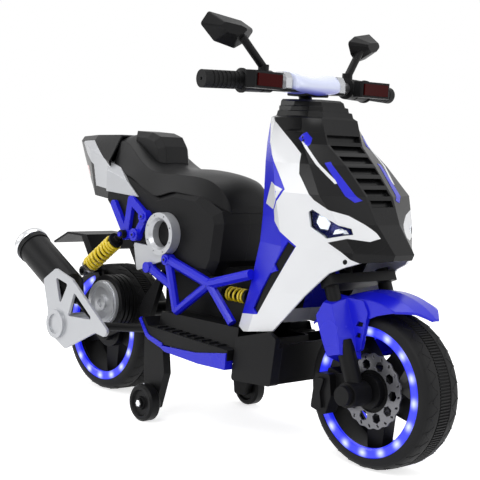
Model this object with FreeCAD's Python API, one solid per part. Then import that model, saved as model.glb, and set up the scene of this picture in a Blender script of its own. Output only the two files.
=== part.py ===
import FreeCAD, Part
import math
import os

V = FreeCAD.Vector

# Driving dimensions in mm: +X is forward, +Y the rider's left, +Z up, floor at z = 0
wheel_radius = 140.0
tyre_width = 92.0
wheelbase = 780.0
front_axle_x = 407.0
axle_radius = 6.0
running_gap = 0.05
moving_gap = 0.5

# Wheels
rim_radius = 116.5
ring_inner_radius = 99.0
ring_depth = 8.0
ring_proud = 0.5
rim_barrel_wall = 9.0
rim_spokes = 5
hub_radius = 30.0
hub_half_width = 44.0
tread_groove_depth = 3.0
disc_radius = 68.0
disc_bore = 38.0
disc_thickness = 3.0
disc_waves = 10

# Steering
rake_deg = 22.0
fork_offset = 23.0
leg_spacing = 144.0
leg_radius = 13.0
stem_radius = 12.0
bush_wall = 5.0
head_tube_wall = 4.0
head_tube_length = 150.0
head_tube_low_z = 395.0
crown_clearance = 6.0
crown_thickness = 18.0
fender_radius = 178.0
fender_wall = 3.5
fender_half_width = 57.0
bar_radius = 11.0
bar_x = 185.0
bar_z = 676.0
bar_bend_radius = 120.0
bar_half_span = 249.0
grip_sweep = 20.0
grip_drop = 5.0
grip_radius = 16.0
grip_length = 88.0
bar_end_hole_radius = 3.0
bar_end_hole_depth = 9.0
housing_radius = 20.0
housing_length = 60.0
bend_clearance = 21.0
clamp_clearance = 22.0
clamp_width = 16.0
dash_clearance = 41.0

# Body
panel_wall = 4.0
body_half_width = 84.0
tunnel_half_width = 48.0
tunnel_floor_z = 138.0
body_bevel = 14.0
floor_half_width = 135.0
floor_front_x = 140.0
floor_front_z = 178.0
floor_thickness = 20.0
rib_count = 9
rib_height = 2.5
curb_top_z = 216.0
trellis_y = 93.0
trellis_radius = 9.5
brace_radius = 8.5
ring_boss_depth = 22.0
ring_boss_radius = 43.0
ring_bore_radius = 27.0
louver_count = 7

# Rear unit
pivot_reach = 183.0
pivot_z = 205.0
pivot_radius = 8.0
pivot_boss_radius = 16.0
arm_inner_y = 50.0
arm_wall = 8.0
lug_gap = 1.0
lug_wall = 12.0
drum_radius = 58.0
cover_radius = 47.0
muffler_y = -152.0
muffler_radius = 36.0
shock_y = 100.0
shock_eye_radius = 9.0
eye_half = 5.5
shock_pin_radius = 5.0
open_pivot_gap = 1.5
damper_radius = 8.5
rod_radius = 4.0
coil_radius = 13.5
coil_wire = 5.5
coil_turns = 7.0
front_coil_turns = 5.0

# Stabilisers
stabiliser_radius = 37.0
stabiliser_width = 26.0
stabiliser_reach = 285.0
stabiliser_y = 121.0
stabiliser_axle_radius = 5.0
leg_wall = 18.0

# Derived places
rear_axle_x = front_axle_x - wheelbase
pivot_x = rear_axle_x + pivot_reach
stabiliser_x = rear_axle_x + stabiliser_reach
axle_z = wheel_radius
rake = math.radians(rake_deg)
steer_dir = V(-math.sin(rake), 0, math.cos(rake))
steer_base = V(front_axle_x - fork_offset / math.cos(rake), 0, axle_z)
half_tyre = tyre_width / 2.0
leg_y = leg_spacing / 2.0
rear_axle = V(rear_axle_x, 0, axle_z)
front_axle = V(front_axle_x, 0, axle_z)
bar_middle = bar_half_span - grip_length - housing_length
bar_bend_y = bar_middle - bend_clearance

# The body is drawn for one rear axle; the floor's length takes up any other wheelbase
drawn_rear_axle_x = -373.0
floor_zone_front_x = 120.0
floor_zone_rear_x = -60.0


def along(x):
    """Moves a drawn x to suit the wheelbase: all behind the floor goes with the rear axle."""
    share = (floor_zone_front_x - x) / (floor_zone_front_x - floor_zone_rear_x)
    return x + (rear_axle_x - drawn_rear_axle_x) * min(1.0, max(0.0, share))


def placed(outline):
    """A drawn side-view outline, moved to suit the wheelbase."""
    return [(along(x), z) for x, z in outline]


def axis_point(z):
    """The point of the steering axis at a height."""
    return steer_base + steer_dir * ((z - steer_base.z) / steer_dir.z)


def box(x0, x1, y0, y1, z0, z1):
    return Part.makeBox(x1 - x0, y1 - y0, z1 - z0, V(x0, y0, z0))


def rod(start, end, radius):
    return Part.makeCylinder(radius, (end - start).Length, start, end - start)


def tube(points, bend_radius, radius):
    """Round bar on an open line of points, with rounded bends."""
    edges = []
    start = points[0]
    for before, corner, after in zip(points, points[1:], points[2:]):
        back = (before - corner).normalize()
        ahead = (after - corner).normalize()
        half_angle = back.getAngle(ahead) / 2
        reach = bend_radius / math.tan(half_angle)
        entry = corner + back * reach
        leave = corner + ahead * reach
        inward = (back + ahead).normalize()
        middle = corner + inward * (bend_radius / math.sin(half_angle) - bend_radius)
        edges += [Part.makeLine(start, entry), Part.Arc(entry, middle, leave).toShape()]
        start = leave
    edges.append(Part.makeLine(start, points[-1]))
    ring = Part.Wire(Part.makeCircle(radius, points[0], points[1] - points[0]))
    return Part.Wire(edges).makePipeShell([ring], True, False)


def cylinder_y(x, z, radius, y0, y1):
    return Part.makeCylinder(radius, y1 - y0, V(x, y0, z), V(0, 1, 0))


def cylinder_x(x0, x1, y, z, radius):
    return Part.makeCylinder(radius, x1 - x0, V(x0, y, z), V(1, 0, 0))


def mirrored(shape):
    return shape.mirror(V(0, 0, 0), V(0, 1, 0))


def pair(left):
    """A left-hand piece together with its mirror image."""
    return Part.Compound([mirrored(left), left])


def fuse(shapes):
    first = shapes[0]
    if len(shapes) == 1:
        return first
    return first.multiFuse(shapes[1:]).removeSplitter()


def rounded_wire(points, radius):
    """A closed wire through points in one plane, with an arc at each corner."""
    starts, mids, ends = [], [], []
    for i, point in enumerate(points):
        before = points[i - 1] - point
        after = points[(i + 1) % len(points)] - point
        reach = 0.45 * min(before.Length, after.Length)
        before.normalize()
        after.normalize()
        half = before.getAngle(after) / 2.0
        tangent = min(radius / math.tan(half), reach)
        arc = tangent * math.tan(half)
        bisector = before + after
        bisector.normalize()
        starts.append(point + before * tangent)
        ends.append(point + after * tangent)
        mids.append(point + bisector * (arc / math.sin(half) - arc))
    edges = []
    for i in range(len(points)):
        edges.append(Part.Arc(starts[i], mids[i], ends[i]).toShape())
        edges.append(Part.makeLine(ends[i], starts[(i + 1) % len(points)]))
    return Part.Wire(edges)


def wire_xz(outline, y, radius=0.0):
    points = [V(x, y, z) for x, z in outline]
    if radius:
        return rounded_wire(points, radius)
    return Part.makePolygon(points + points[:1])


def prism(outline, y0, y1, radius=0.0):
    """A side-view outline of (x, z) points, drawn out across the bike."""
    return Part.Face(wire_xz(outline, y0, radius)).extrude(V(0, y1 - y0, 0))


def inset(outline, distance):
    """An outline of (a, b) points with each side moved inwards."""
    area = sum(p[0] * q[1] - q[0] * p[1] for p, q in zip(outline, outline[1:] + outline[:1]))
    turn = 1.0 if area > 0 else -1.0
    result = []
    for i, (x, z) in enumerate(outline):
        px, pz = outline[i - 1]
        nx, nz = outline[(i + 1) % len(outline)]
        d1 = V(x - px, z - pz, 0).normalize()
        d2 = V(nx - x, nz - z, 0).normalize()
        n1 = V(-d1.y, d1.x, 0) * turn
        n2 = V(-d2.y, d2.x, 0) * turn
        bisector = n1 + n2
        move = bisector * (distance / (1.0 + n1.dot(n2)))
        result.append((x + move.x, z + move.y))
    return result


def beveled_half(outline, half_width, bevel):
    """The right half of a body: a prism from the middle plane with a bevelled side."""
    shoulder = -(half_width - bevel)
    core = prism(outline, shoulder, 0)
    wires = [wire_xz(outline, shoulder), wire_xz(inset(outline, bevel), -half_width)]
    side = Part.makeLoft(wires, True, True)
    return core.fuse(side).removeSplitter()


def revolve_y(profile, centre):
    """A profile of (y, r) points turned once about the wheel's axle."""
    points = [V(centre.x, y, centre.z + r) for y, r in profile]
    face = Part.Face(Part.makePolygon(points + points[:1]))
    return face.revolve(V(centre.x, 0, centre.z), V(0, 1, 0), 360)


nodes = {}

# Nose and leg shield: one hull of level sections, later split along the panel lines
hull_sections = [
    # z, front x and half width, corner x and half width, flank x and half width, rear x and half width
    (200, 330, 60, 290, 112, 165, 116, 120, 96),
    (300, 395, 40, 345, 104, 205, 117, 142, 86),
    (350, 425, 24, 372, 88, 235, 117, 152, 84),
    (383, 438, 26, 390, 78, 250, 117, 158, 82),
    (432, 397, 30, 368, 100, 240, 118, 160, 80),
    (480, 372, 36, 340, 121, 228, 118, 160, 80),
    (532, 323, 40, 296, 104, 210, 110, 160, 80),
    (567, 283, 47, 262, 88, 190, 98, 158, 76),
    (620, 264, 48, 235, 68, 175, 74, 152, 62),
    (648, 250, 44, 215, 58, 172, 60, 150, 52),
]
white_outline = [
    (146, 613), (169, 613), (268, 549), (279, 514), (324, 471), (371, 447), (403, 419), (411, 410),
    (403, 404), (380, 408), (341, 398), (394, 366), (346, 344), (234, 227), (151, 214), (110, 222),
    (112, 242), (195, 253), (279, 386),
    (220, 426), (218, 446), (252, 485),
]
lamp_outline = [(308, 449), (317, 454), (380, 425), (384, 415), (340, 405), (309, 424)]
well_outline = [
    (234, 227), (346, 344), (394, 366), (445, 374), (600, 374), (600, 150), (180, 150), (151, 214),
]
gap_outline = [(196, 254), (277, 384), (262, 393), (218, 323), (180, 262)]
gap_lap = 5.0
strut_outline = [(200, 322), (240, 338), (234, 350), (194, 334)]
side_reach = 300.0
shield_edge_y = 20.0
cap_low_z = 588.0
inner_panel_half = 66.0
louver_low_z = 462.0
louver_pitch = 18.5
louver_slot = 11.5
louver_depth = 9.0
louver_low_half = 29.0
louver_high_half = 45.0
louver_frame = 7.0
beyond = 1000.0


def hull(wall):
    """The nose hull, drawn in by a wall and open below when the wall is not zero."""
    wires = []
    for i, row in enumerate(hull_sections):
        z = row[0]
        right = [(row[k], -row[k + 1]) for k in (1, 3, 5, 7)]
        left = [(x, -y) for x, y in reversed(right)]
        outline = right + left
        if wall:
            outline = inset(outline, wall)
            z += -wall if i in (0, len(hull_sections) - 1) else 0
        points = [V(x, y, z) for x, y in outline]
        wires.append(Part.makePolygon(points + points[:1]))
    return Part.makeLoft(wires, True, True)


def side_prism(outline, near=shield_edge_y):
    """An outline drawn out from a small distance off the middle plane to the right."""
    return prism(outline, -side_reach, -near)


def make_nose():
    skin = hull(0).cut(hull(panel_wall)).cut(prism(well_outline, -side_reach, side_reach))
    white = side_prism(white_outline)
    lamp = side_prism(lamp_outline)
    panel = skin.common(white).cut(lamp)
    nodes["side_panels"] = pair(mirrored(panel))
    nodes["headlamps"] = pair(mirrored(skin.common(lamp)))
    both = white.fuse(lamp)
    rest = skin.cut(both).cut(mirrored(both))
    divide = [(0, 613), (169, 613), (268, 549), (279, 514), (252, 485), (218, 446), (220, 426), (279, 386),
              (195, 253), (112, 242), (0, 242)]
    rear_zone = prism(divide, -side_reach, side_reach)
    rear = rest.common(rear_zone)
    middle = box(0, 600, -inner_panel_half, inner_panel_half, 0, 800)
    gap = prism(gap_outline, -side_reach, side_reach)
    gap = gap.cut(prism(strut_outline, -side_reach, side_reach))
    backing = hull(panel_wall).cut(hull(2 * panel_wall))
    backing = backing.common(prism(inset(gap_outline, -gap_lap), -side_reach, side_reach))
    backing = backing.cut(box(0, 600, -inner_panel_half, inner_panel_half, 0, 800))
    nodes["inner_panel"] = Part.Compound([rear.common(middle)] + backing.Solids)
    blue = rear.cut(middle).cut(gap)
    nodes["leg_shields"] = pair(blue.common(box(0, 600, 0, side_reach, 0, 800)))
    front = rest.cut(rear_zone).common(box(100, 600, -side_reach, side_reach, 360, 800))
    top = box(0, 600, -side_reach, side_reach, cap_low_z, 800)
    nodes["nose_cap"] = front.common(top)
    nodes["nose_shield"] = louvred(front.cut(top))


def louvred(shield):
    """The shield with a thick middle field and a ladder of blind slots in it."""
    high_z = louver_low_z + (louver_count - 1) * louver_pitch + louver_slot
    field = []
    for z, half in ((louver_low_z - louver_frame, louver_low_half), (cap_low_z, louver_high_half)):
        width = half + louver_frame
        corners = [V(200, -width, z), V(beyond, -width, z), V(beyond, width, z), V(200, width, z)]
        field.append(Part.makePolygon(corners + corners[:1]))
    field = Part.makeLoft(field, True, True)
    backing = hull(panel_wall).cut(hull(louver_depth + panel_wall)).common(field)
    shield = shield.fuse(backing).removeSplitter()
    floor = hull(louver_depth)
    spread = (louver_high_half - louver_low_half) / (high_z - louver_low_z)
    for k in range(louver_count):
        z = louver_low_z + k * louver_pitch
        half = louver_low_half + spread * (z - louver_low_z)
        shield = shield.cut(box(200, beyond, -half, half, z, z + louver_slot).cut(floor))
    return shield


def tilted(shape):
    """Places a shape that was drawn with the steering axis as its z axis."""
    placed = shape.copy()
    placed.rotate(V(0, 0, 0), V(0, 1, 0), -rake_deg)
    placed.translate(steer_base)
    return placed


def local_z(z):
    """Length along the steering axis up to a height."""
    return (z - steer_base.z) / math.cos(rake)


# Wheels
def make_tyre(centre):
    groove_outer = 20.0
    groove_inner = 13.0
    side = [
        (half_tyre, rim_radius), (half_tyre, rim_radius + 8), (half_tyre - 4, wheel_radius - 11),
        (half_tyre - 14, wheel_radius - 3), (groove_outer, wheel_radius - 0.6),
        (groove_outer - 2, wheel_radius - tread_groove_depth),
        (groove_inner + 2, wheel_radius - tread_groove_depth), (groove_inner, wheel_radius),
    ]
    return revolve_y(side + [(-y, r) for y, r in reversed(side)], centre)


def make_rim(centre, bore_radius):
    barrel = half_tyre - ring_depth
    flange = barrel - 5.0
    inner = rim_radius - rim_barrel_wall
    seat = ring_inner_radius
    profile = [(barrel, rim_radius), (barrel, seat), (flange, seat), (flange - 8, inner)]
    pieces = [revolve_y(profile + [(-y, r) for y, r in reversed(profile)], centre)]
    carrier = 29.0
    pieces.append(cylinder_y(centre.x, centre.z, hub_radius, -hub_half_width, hub_half_width))
    pieces.append(cylinder_y(centre.x, centre.z, disc_bore + 6, -carrier, carrier))
    spoke = [(hub_radius - 8, -24), (inner + 3, -16), (inner + 3, 16), (hub_radius - 8, 24)]
    for i in range(rim_spokes):
        arm = prism(spoke, -14, 14)
        arm.rotate(V(0, 0, 0), V(0, 1, 0), 90 + i * 360.0 / rim_spokes)
        arm.translate(centre)
        pieces.append(arm)
    bore = cylinder_y(centre.x, centre.z, bore_radius, -hub_half_width - 1, hub_half_width + 1)
    return fuse(pieces).cut(bore)


def make_light_rings(centre):
    low = half_tyre - ring_depth
    profile = [(low, ring_inner_radius), (half_tyre + ring_proud - 2, ring_inner_radius),
               (half_tyre + ring_proud, ring_inner_radius + 3), (half_tyre + ring_proud, rim_radius - 3),
               (half_tyre + ring_proud - 2, rim_radius), (low, rim_radius)]
    left = revolve_y(profile, centre)
    return Part.Compound([left, mirrored(left)])


def make_disc(centre):
    face = -29.0
    disc = cylinder_y(centre.x, centre.z, disc_radius, face - disc_thickness, face)
    cuts = [cylinder_y(centre.x, centre.z, disc_bore, face - 10, face + 10)]
    for i in range(disc_waves):
        turn = 2 * math.pi * i / disc_waves
        between = turn + math.pi / disc_waves
        for radius, angle, size in ((disc_radius + 9, turn, 12), (50, turn, 6.5), (60, between, 4)):
            spot = V(centre.x + radius * math.cos(angle), 0, centre.z + radius * math.sin(angle))
            cuts.append(cylinder_y(spot.x, spot.z, size, face - 10, face + 10))
    return disc.cut(cuts[0].multiFuse(cuts[1:]))


def make_wheels():
    for side, centre in (("front", front_axle), ("rear", rear_axle)):
        nodes[side + "_tyre"] = make_tyre(centre)
        nodes[side + "_rim"] = make_rim(centre, axle_radius + running_gap)
        nodes[side + "_light_rings"] = make_light_rings(centre)
    nodes["brake_disc"] = make_disc(front_axle)


# Steering: fork, fender, handlebar, grips and mirrors
lug_inner_y = leg_y - leg_radius - 5.0
lug_outer_y = 98.0
leg_above_crown = 8.0
sleeve_wall = 3.0
sleeve_length = 95.0
crown_low = fender_radius + crown_clearance
stem_top_z = 664.0
collar_gap = 0.5


def make_fork():
    leg_low = -fork_offset * math.tan(rake)
    leg_length = crown_low + crown_thickness + leg_above_crown - leg_low
    legs = []
    for side in (-1, 1):
        base = V(fork_offset, side * leg_y, leg_low)
        leg = Part.makeCylinder(leg_radius, leg_length, base)
        sleeve = Part.makeCylinder(leg_radius + sleeve_wall, sleeve_length, base)
        low, high = sorted((side * lug_inner_y, side * lug_outer_y))
        lug = cylinder_y(front_axle_x, axle_z, 22, low, high)
        bore = cylinder_y(front_axle_x, axle_z, axle_radius, low - 1, high + 1)
        legs.append(fuse([tilted(leg.fuse(sleeve)), lug]).cut(bore))
    nodes["fork_legs"] = Part.Compound(legs)
    half = leg_y + leg_radius + 5
    crown = [(-22, -30), (fork_offset - 8, -half), (fork_offset + 20, -half), (fork_offset + 20, half),
             (fork_offset - 8, half), (-22, 30)]
    points = [V(x, y, crown_low) for x, y in crown]
    plate = Part.Face(rounded_wire(points, 8)).extrude(V(0, 0, crown_thickness))
    stem = Part.makeCylinder(stem_radius, local_z(stem_top_z) - crown_low, V(0, 0, crown_low))
    collar_top = local_z(head_tube_low_z) - collar_gap
    collar = Part.makeCylinder(stem_radius + bush_wall, 6, V(0, 0, collar_top - 6))
    yoke = tilted(fuse([plate, stem, collar])).common(box(0, 600, -200, 200, 0, stem_top_z))
    nodes["steering_yoke"] = yoke.cut(Part.Compound(legs))


def make_front_axle():
    pieces = [cylinder_y(front_axle_x, axle_z, axle_radius, -lug_outer_y - 4, lug_outer_y + 4)]
    for side in (-1, 1):
        low, high = sorted((side * (hub_half_width + moving_gap), side * lug_inner_y))
        pieces.append(cylinder_y(front_axle_x, axle_z, 10, low, high))
        low, high = sorted((side * lug_outer_y, side * (lug_outer_y + 12)))
        pieces.append(cylinder_y(front_axle_x, axle_z, 17, low, high))
    nodes["front_axle"] = fuse(pieces)


fender_web = [(314, 270), (342, 196), (402, 214), (414, 282), (402, 302), (340, 304)]
web_wall = 5.0
web_lap = 4.0
web_slot = [(0, 0), (5, 9), (24, 7), (23, 0)]
web_slot_x = 388.0
web_slot_z = 236.0
web_slot_pitch = 20.0
shroud_outline = [(306, 268), (326, 222), (346, 184), (398, 198), (390, 240), (366, 304), (330, 306)]
shroud_bevel = 13.0


def shroud(side, wall, reach):
    """The bulge of the fender round a fork leg, drawn in by a wall for its hollow."""
    foot = inset(shroud_outline, wall) if wall else shroud_outline
    root_y = fender_half_width - web_lap + reach
    top_y = leg_y + leg_radius + 8 - wall
    wires = [wire_xz(foot, side * root_y), wire_xz(inset(foot, shroud_bevel), side * top_y)]
    return Part.makeLoft(wires, True, True)


def make_fender():
    arch = [(-fender_half_width, fender_radius - 14), (-30, fender_radius - 3), (0, fender_radius),
            (30, fender_radius - 3), (fender_half_width, fender_radius - 14)]
    profile = arch + [(y, r - fender_wall) for y, r in reversed(arch)]
    points = [V(front_axle_x, y, axle_z + r) for y, r in profile]
    face = Part.Face(Part.makePolygon(points + points[:1]))
    face.rotate(front_axle, V(0, 1, 0), -50)
    shell = face.revolve(front_axle, V(0, 1, 0), 88)
    half = fender_half_width + 1
    plan = [(200, -half), (front_axle_x + 62, -half), (front_axle_x + 108, -8), (front_axle_x + 108, 8),
            (front_axle_x + 62, half), (200, half)]
    plan_wire = Part.makePolygon([V(x, y, 0) for x, y in plan + plan[:1]])
    shell = shell.common(Part.Face(plan_wire).extrude(V(0, 0, beyond)))
    sides = []
    for side in (-1, 1):
        inner_y, outer_y = side * (fender_half_width - web_lap), side * (fender_half_width + web_wall)
        web = prism(fender_web, inner_y, outer_y, 8)
        for k in (0, 1):
            slot = [(web_slot_x + x, web_slot_z + k * web_slot_pitch + z) for x, z in web_slot]
            web = web.cut(prism(slot, inner_y - side, outer_y + side))
        cover = web.fuse(shroud(side, 0.0, 0)).cut(shroud(side, fender_wall, -1))
        sides.append(cover.cut(nodes["fork_legs"]))
    nodes["front_fender"] = fuse([shell] + sides).cut(nodes["steering_yoke"])


def make_caliper():
    x = front_axle_x - disc_radius
    body = prism([(x - 14, 128), (x + 18, 124), (x + 18, 168), (x - 10, 174)], -62, -22, 5)
    slot = box(x - 3, x + 60, -35, -26, 100, 200)
    bracket = prism([(x + 4, 140), (x + 44, 134), (x + 42, 172), (x + 6, 164)], -68, -60, 4)
    block = prism([(x - 28, 100), (x + 8, 92), (x + 20, 128), (x + 14, 166), (x - 20, 164)], -84, -56, 5)
    rib = prism([(x - 18, 108), (x + 4, 102), (x - 2, 132), (x + 6, 158), (x - 14, 156)], -90, -80, 3)
    caliper = fuse([body.cut(slot), bracket, block, rib])
    nodes["brake_caliper"] = caliper.cut(nodes["fork_legs"])


def bar_bend(side):
    return V(bar_x, side * bar_bend_y, bar_z)


def bar_end(side):
    return V(bar_x - grip_sweep, side * bar_half_span, bar_z - grip_drop)


def bar_point(side, distance):
    """A point on the outer run of the bar, measured back from its end."""
    run = bar_bend(side) - bar_end(side)
    return bar_end(side) + run.normalize() * distance


grip_end_wall = 13.0
bar_short = 14.0
clamp_outline = [(167, stem_top_z), (203, stem_top_z), (203, 684), (195, 695), (175, 695), (167, 684)]
dash_outline = [(132, 661), (139, 682), (172, 701), (198, 697), (217, 676), (214, 662), (204, 661)]
dash_bevel = 9.0


def make_handlebar():
    bends = [bar_point(-1, bar_short), bar_bend(-1), bar_bend(1), bar_point(1, bar_short)]
    bar = tube(bends, bar_bend_radius, bar_radius)
    nodes["handlebar"] = bar
    riser = prism([(156, 654), (208, 654), (204, stem_top_z), (160, stem_top_z)], -30, 30, 3)
    clamp_outer = bar_middle - clamp_clearance
    seat_plate = box(160, 204, -clamp_outer, clamp_outer, stem_top_z - 4, stem_top_z)
    nodes["steering_yoke"] = fuse([nodes["steering_yoke"], riser, seat_plate])
    clamps = []
    for side in (-1, 1):
        low, high = sorted((side * (clamp_outer - clamp_width), side * clamp_outer))
        block = prism(clamp_outline, low, high, 3)
        clamps.append(block.cut(bar))
    nodes["bar_clamps"] = Part.Compound(clamps)
    dash_half = bar_middle - dash_clearance
    shoulder = dash_half - dash_bevel
    pieces = [prism(dash_outline, -shoulder, shoulder, 6)]
    for side in (-1, 1):
        root = wire_xz(dash_outline, side * shoulder, 6)
        rim = wire_xz(inset(dash_outline, 7), side * dash_half, 6)
        pieces.append(Part.makeLoft([root, rim], True, True))
    nodes["dash_cover"] = fuse(pieces).cut(bar).cut(nodes["steering_yoke"])


def make_grips():
    for side, name in ((-1, "throttle_grip"), (1, "grip_left")):
        gap = running_gap if side < 0 else 0.0
        inner = bar_point(side, grip_length)
        body = rod(inner, bar_end(side), grip_radius)
        flange = rod(inner, bar_point(side, grip_length - 4), grip_radius + 6)
        grip = body.fuse(flange)
        bore = rod(bar_point(side, grip_length + 1), bar_point(side, grip_end_wall), bar_radius + gap)
        end_hole = rod(bar_point(side, bar_end_hole_depth), bar_point(side, -1), bar_end_hole_radius)
        grip = grip.cut(bore).cut(end_hole)
        for k in range(7):
            start = 16 + 9.0 * k
            ring = rod(bar_point(side, start + 3), bar_point(side, start), grip_radius + 2)
            ring = ring.cut(rod(bar_point(side, start + 4), bar_point(side, start - 1), grip_radius - 1.5))
            grip = grip.cut(ring)
        nodes[name] = grip


# Outlines beside the grips: y is measured outwards from the inner end of the switch housing
mirror_outline = [(22, 766), (49, 780), (115, 791), (130, 768), (102, 740), (61, 730), (37, 744)]
mirror_middle = (77.0, 762.0)
mirror_rear_x = 146.0
mirror_depth = 30.0
mirror_yaw_deg = 15.0
stalk_radius = 7.5
guard_plan = [(200, 0), (222, 3), (227, 78), (214, 91), (200, 74)]
guard_low_z = 660.0
guard_height = 30.0
lens_plan = [(222.4, 9), (226.6, 72), (229.6, 72), (225.4, 9)]
lens_margin = 4.0


def beside_grip(outline):
    return [(y + bar_middle, z) for y, z in outline]


def mirror_wire(outline, x):
    points = [V(x, y, z) for y, z in outline]
    return rounded_wire(points, 6)


def plan_prism(plan, low_z, high_z, radius=0.0):
    """A plan of (x, y) points beside the left grip, drawn upwards."""
    points = [V(x, y + bar_middle, low_z) for x, y in plan]
    wire = rounded_wire(points, radius) if radius else Part.makePolygon(points + points[:1])
    return Part.Face(wire).extrude(V(0, 0, high_z - low_z))


def make_switchgear():
    start = grip_length + moving_gap
    case = rod(bar_point(1, start + housing_length), bar_point(1, start), housing_radius)
    groove = rod(bar_point(1, start + 40), bar_point(1, start + 36), housing_radius + 3)
    groove = groove.cut(rod(bar_point(1, start + 41), bar_point(1, start + 35), housing_radius - 2))
    foot = Part.makeCylinder(10, 31, V(176, bar_middle + 11, 674))
    housing = fuse([case.cut(groove), foot]).cut(nodes["handlebar"])
    nodes["switch_housings"] = pair(housing)
    guard = plan_prism(guard_plan, guard_low_z, guard_low_z + guard_height, 5)
    lens = plan_prism(lens_plan, guard_low_z + lens_margin, guard_low_z + guard_height - lens_margin)
    guard = guard.cut(housing)
    nodes["lever_guards"] = pair(guard)
    nodes["reflectors"] = pair(lens.cut(guard))


def make_mirrors():
    outline = beside_grip(mirror_outline)
    middle_y, middle_z = beside_grip([mirror_middle])[0]
    small = [(middle_y + 0.5 * (y - middle_y), middle_z + 0.35 * (z - middle_z)) for y, z in outline]
    wires = [mirror_wire(outline, mirror_rear_x), mirror_wire(small, mirror_rear_x + mirror_depth)]
    head = Part.makeLoft(wires, True, True)
    glass = Part.Face(mirror_wire(inset(outline, 5), mirror_rear_x)).extrude(V(2.5, 0, 0))
    head = head.cut(glass)
    for shape in (head, glass):
        shape.rotate(V(mirror_rear_x, middle_y, 0), V(0, 0, 1), mirror_yaw_deg)
    stalk = rod(V(177, bar_middle + 10, 698), V(164, middle_y - 20, 752), stalk_radius)
    stalk = stalk.cut(glass).cut(Part.Compound(nodes["switch_housings"].Solids[1:]))
    nodes["mirrors"] = pair(fuse([head, stalk]))
    nodes["mirror_glasses"] = pair(glass)


# Steering head inside the nose
down_foot_x = along(14)


def make_steering_head():
    low = local_z(head_tube_low_z)
    outer = stem_radius + bush_wall + head_tube_wall
    tube = Part.makeCylinder(outer, head_tube_length, V(0, 0, low))
    bore = Part.makeCylinder(stem_radius + running_gap, head_tube_length + 2, V(0, 0, low - 1))
    relief = Part.makeCylinder(stem_radius + bush_wall, head_tube_length - 52, V(0, 0, low + 26))
    down = rod(axis_point(430), V(down_foot_x, 0, tunnel_floor_z), 15)
    brace_z = 470.0
    brace_x = axis_point(brace_z).x - 22
    brace = cylinder_y(brace_x, brace_z, 9, -200, 200).common(hull(panel_wall))
    nodes["steering_head"] = fuse([tilted(tube), down, brace]).cut(tilted(bore.fuse(relief)))
    opening = tilted(Part.makeCylinder(stem_radius + 4, 120, V(0, 0, local_z(600))))
    nodes["nose_cap"] = nodes["nose_cap"].cut(opening)
    nodes["inner_panel"] = nodes["inner_panel"].cut(opening).cut(down)


make_nose()
make_wheels()
make_fork()
make_front_axle()
make_fender()
make_caliper()
make_handlebar()
make_grips()
make_switchgear()
make_mirrors()
make_steering_head()


# Main body: two bolted halves of a hollow body with a tunnel between the footboards
body_outline = placed([
    (36, 428), (44, 404), (34, 330), (18, 300), (-150, 293), (-205, 300), (-262, 360), (-330, 420),
    (-330, 505), (-229, 478), (-148, 450), (-97, 462), (-26, 457),
])
tunnel_outline = placed([
    (150, 314), (20, 318), (-150, 330), (-160, 260), (-158, 190), (-120, tunnel_floor_z),
    (120, tunnel_floor_z), (190, 150),
])
coil_holder_x = 54.0
coil_holder_length = 66.0
coil_holder_wall = 6.0
coil_holder_y = 66.0
coil_holder_z = 272.0
bridge_half = 9.0


def lug_outline():
    low = pivot_z - 20
    return [(along(-130), 305), (pivot_x - 6, pivot_z + 26), (pivot_x - 20, pivot_z), (pivot_x - 10, low),
            (pivot_x + 14, low)]


def body_solid():
    """The whole outside of the body and tunnel, as one solid."""
    right = beveled_half(body_outline, body_half_width, body_bevel)
    right = right.fuse(beveled_half(tunnel_outline, tunnel_half_width, 8))
    return right.fuse(mirrored(right)).removeSplitter()


def make_chassis():
    outer = beveled_half(body_outline, body_half_width, body_bevel)
    outer = outer.fuse(beveled_half(tunnel_outline, tunnel_half_width, 8))
    cavity = beveled_half(inset(body_outline, panel_wall), body_half_width - panel_wall, body_bevel)
    cavity = cavity.fuse(beveled_half(inset(tunnel_outline, panel_wall), tunnel_half_width - panel_wall, 8))
    lug_inner = arm_inner_y + arm_wall + lug_gap
    lug = prism(lug_outline(), -lug_inner - lug_wall, -lug_inner)
    stub = cylinder_y(pivot_x, pivot_z, pivot_radius, -lug_inner, -20)
    pieces = [outer.cut(cavity), lug.cut(cavity), stub]
    for x in (coil_holder_x, coil_holder_x + coil_holder_length - coil_holder_wall):
        ear = cylinder_x(x, x + coil_holder_wall, coil_holder_y, coil_holder_z, coil_radius + 1)
        low, high = coil_holder_z - bridge_half, coil_holder_z + bridge_half
        bridge = box(x, x + coil_holder_wall, tunnel_half_width - 2, coil_holder_y, low, high)
        pieces.append(mirrored(ear.fuse(bridge)))
    core_end = coil_holder_x + coil_holder_length
    core = cylinder_x(coil_holder_x, core_end, coil_holder_y, coil_holder_z, damper_radius)
    pieces.append(mirrored(core))
    half = fuse(pieces).cut(hull(0)).cut(nodes["steering_head"])
    nodes["chassis_half_right"] = half
    nodes["chassis_half_left"] = mirrored(half)


def floor_z(x):
    """Height of the tread, which falls gently towards the front."""
    return floor_front_z + 0.05 * (floor_front_x - x)


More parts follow.
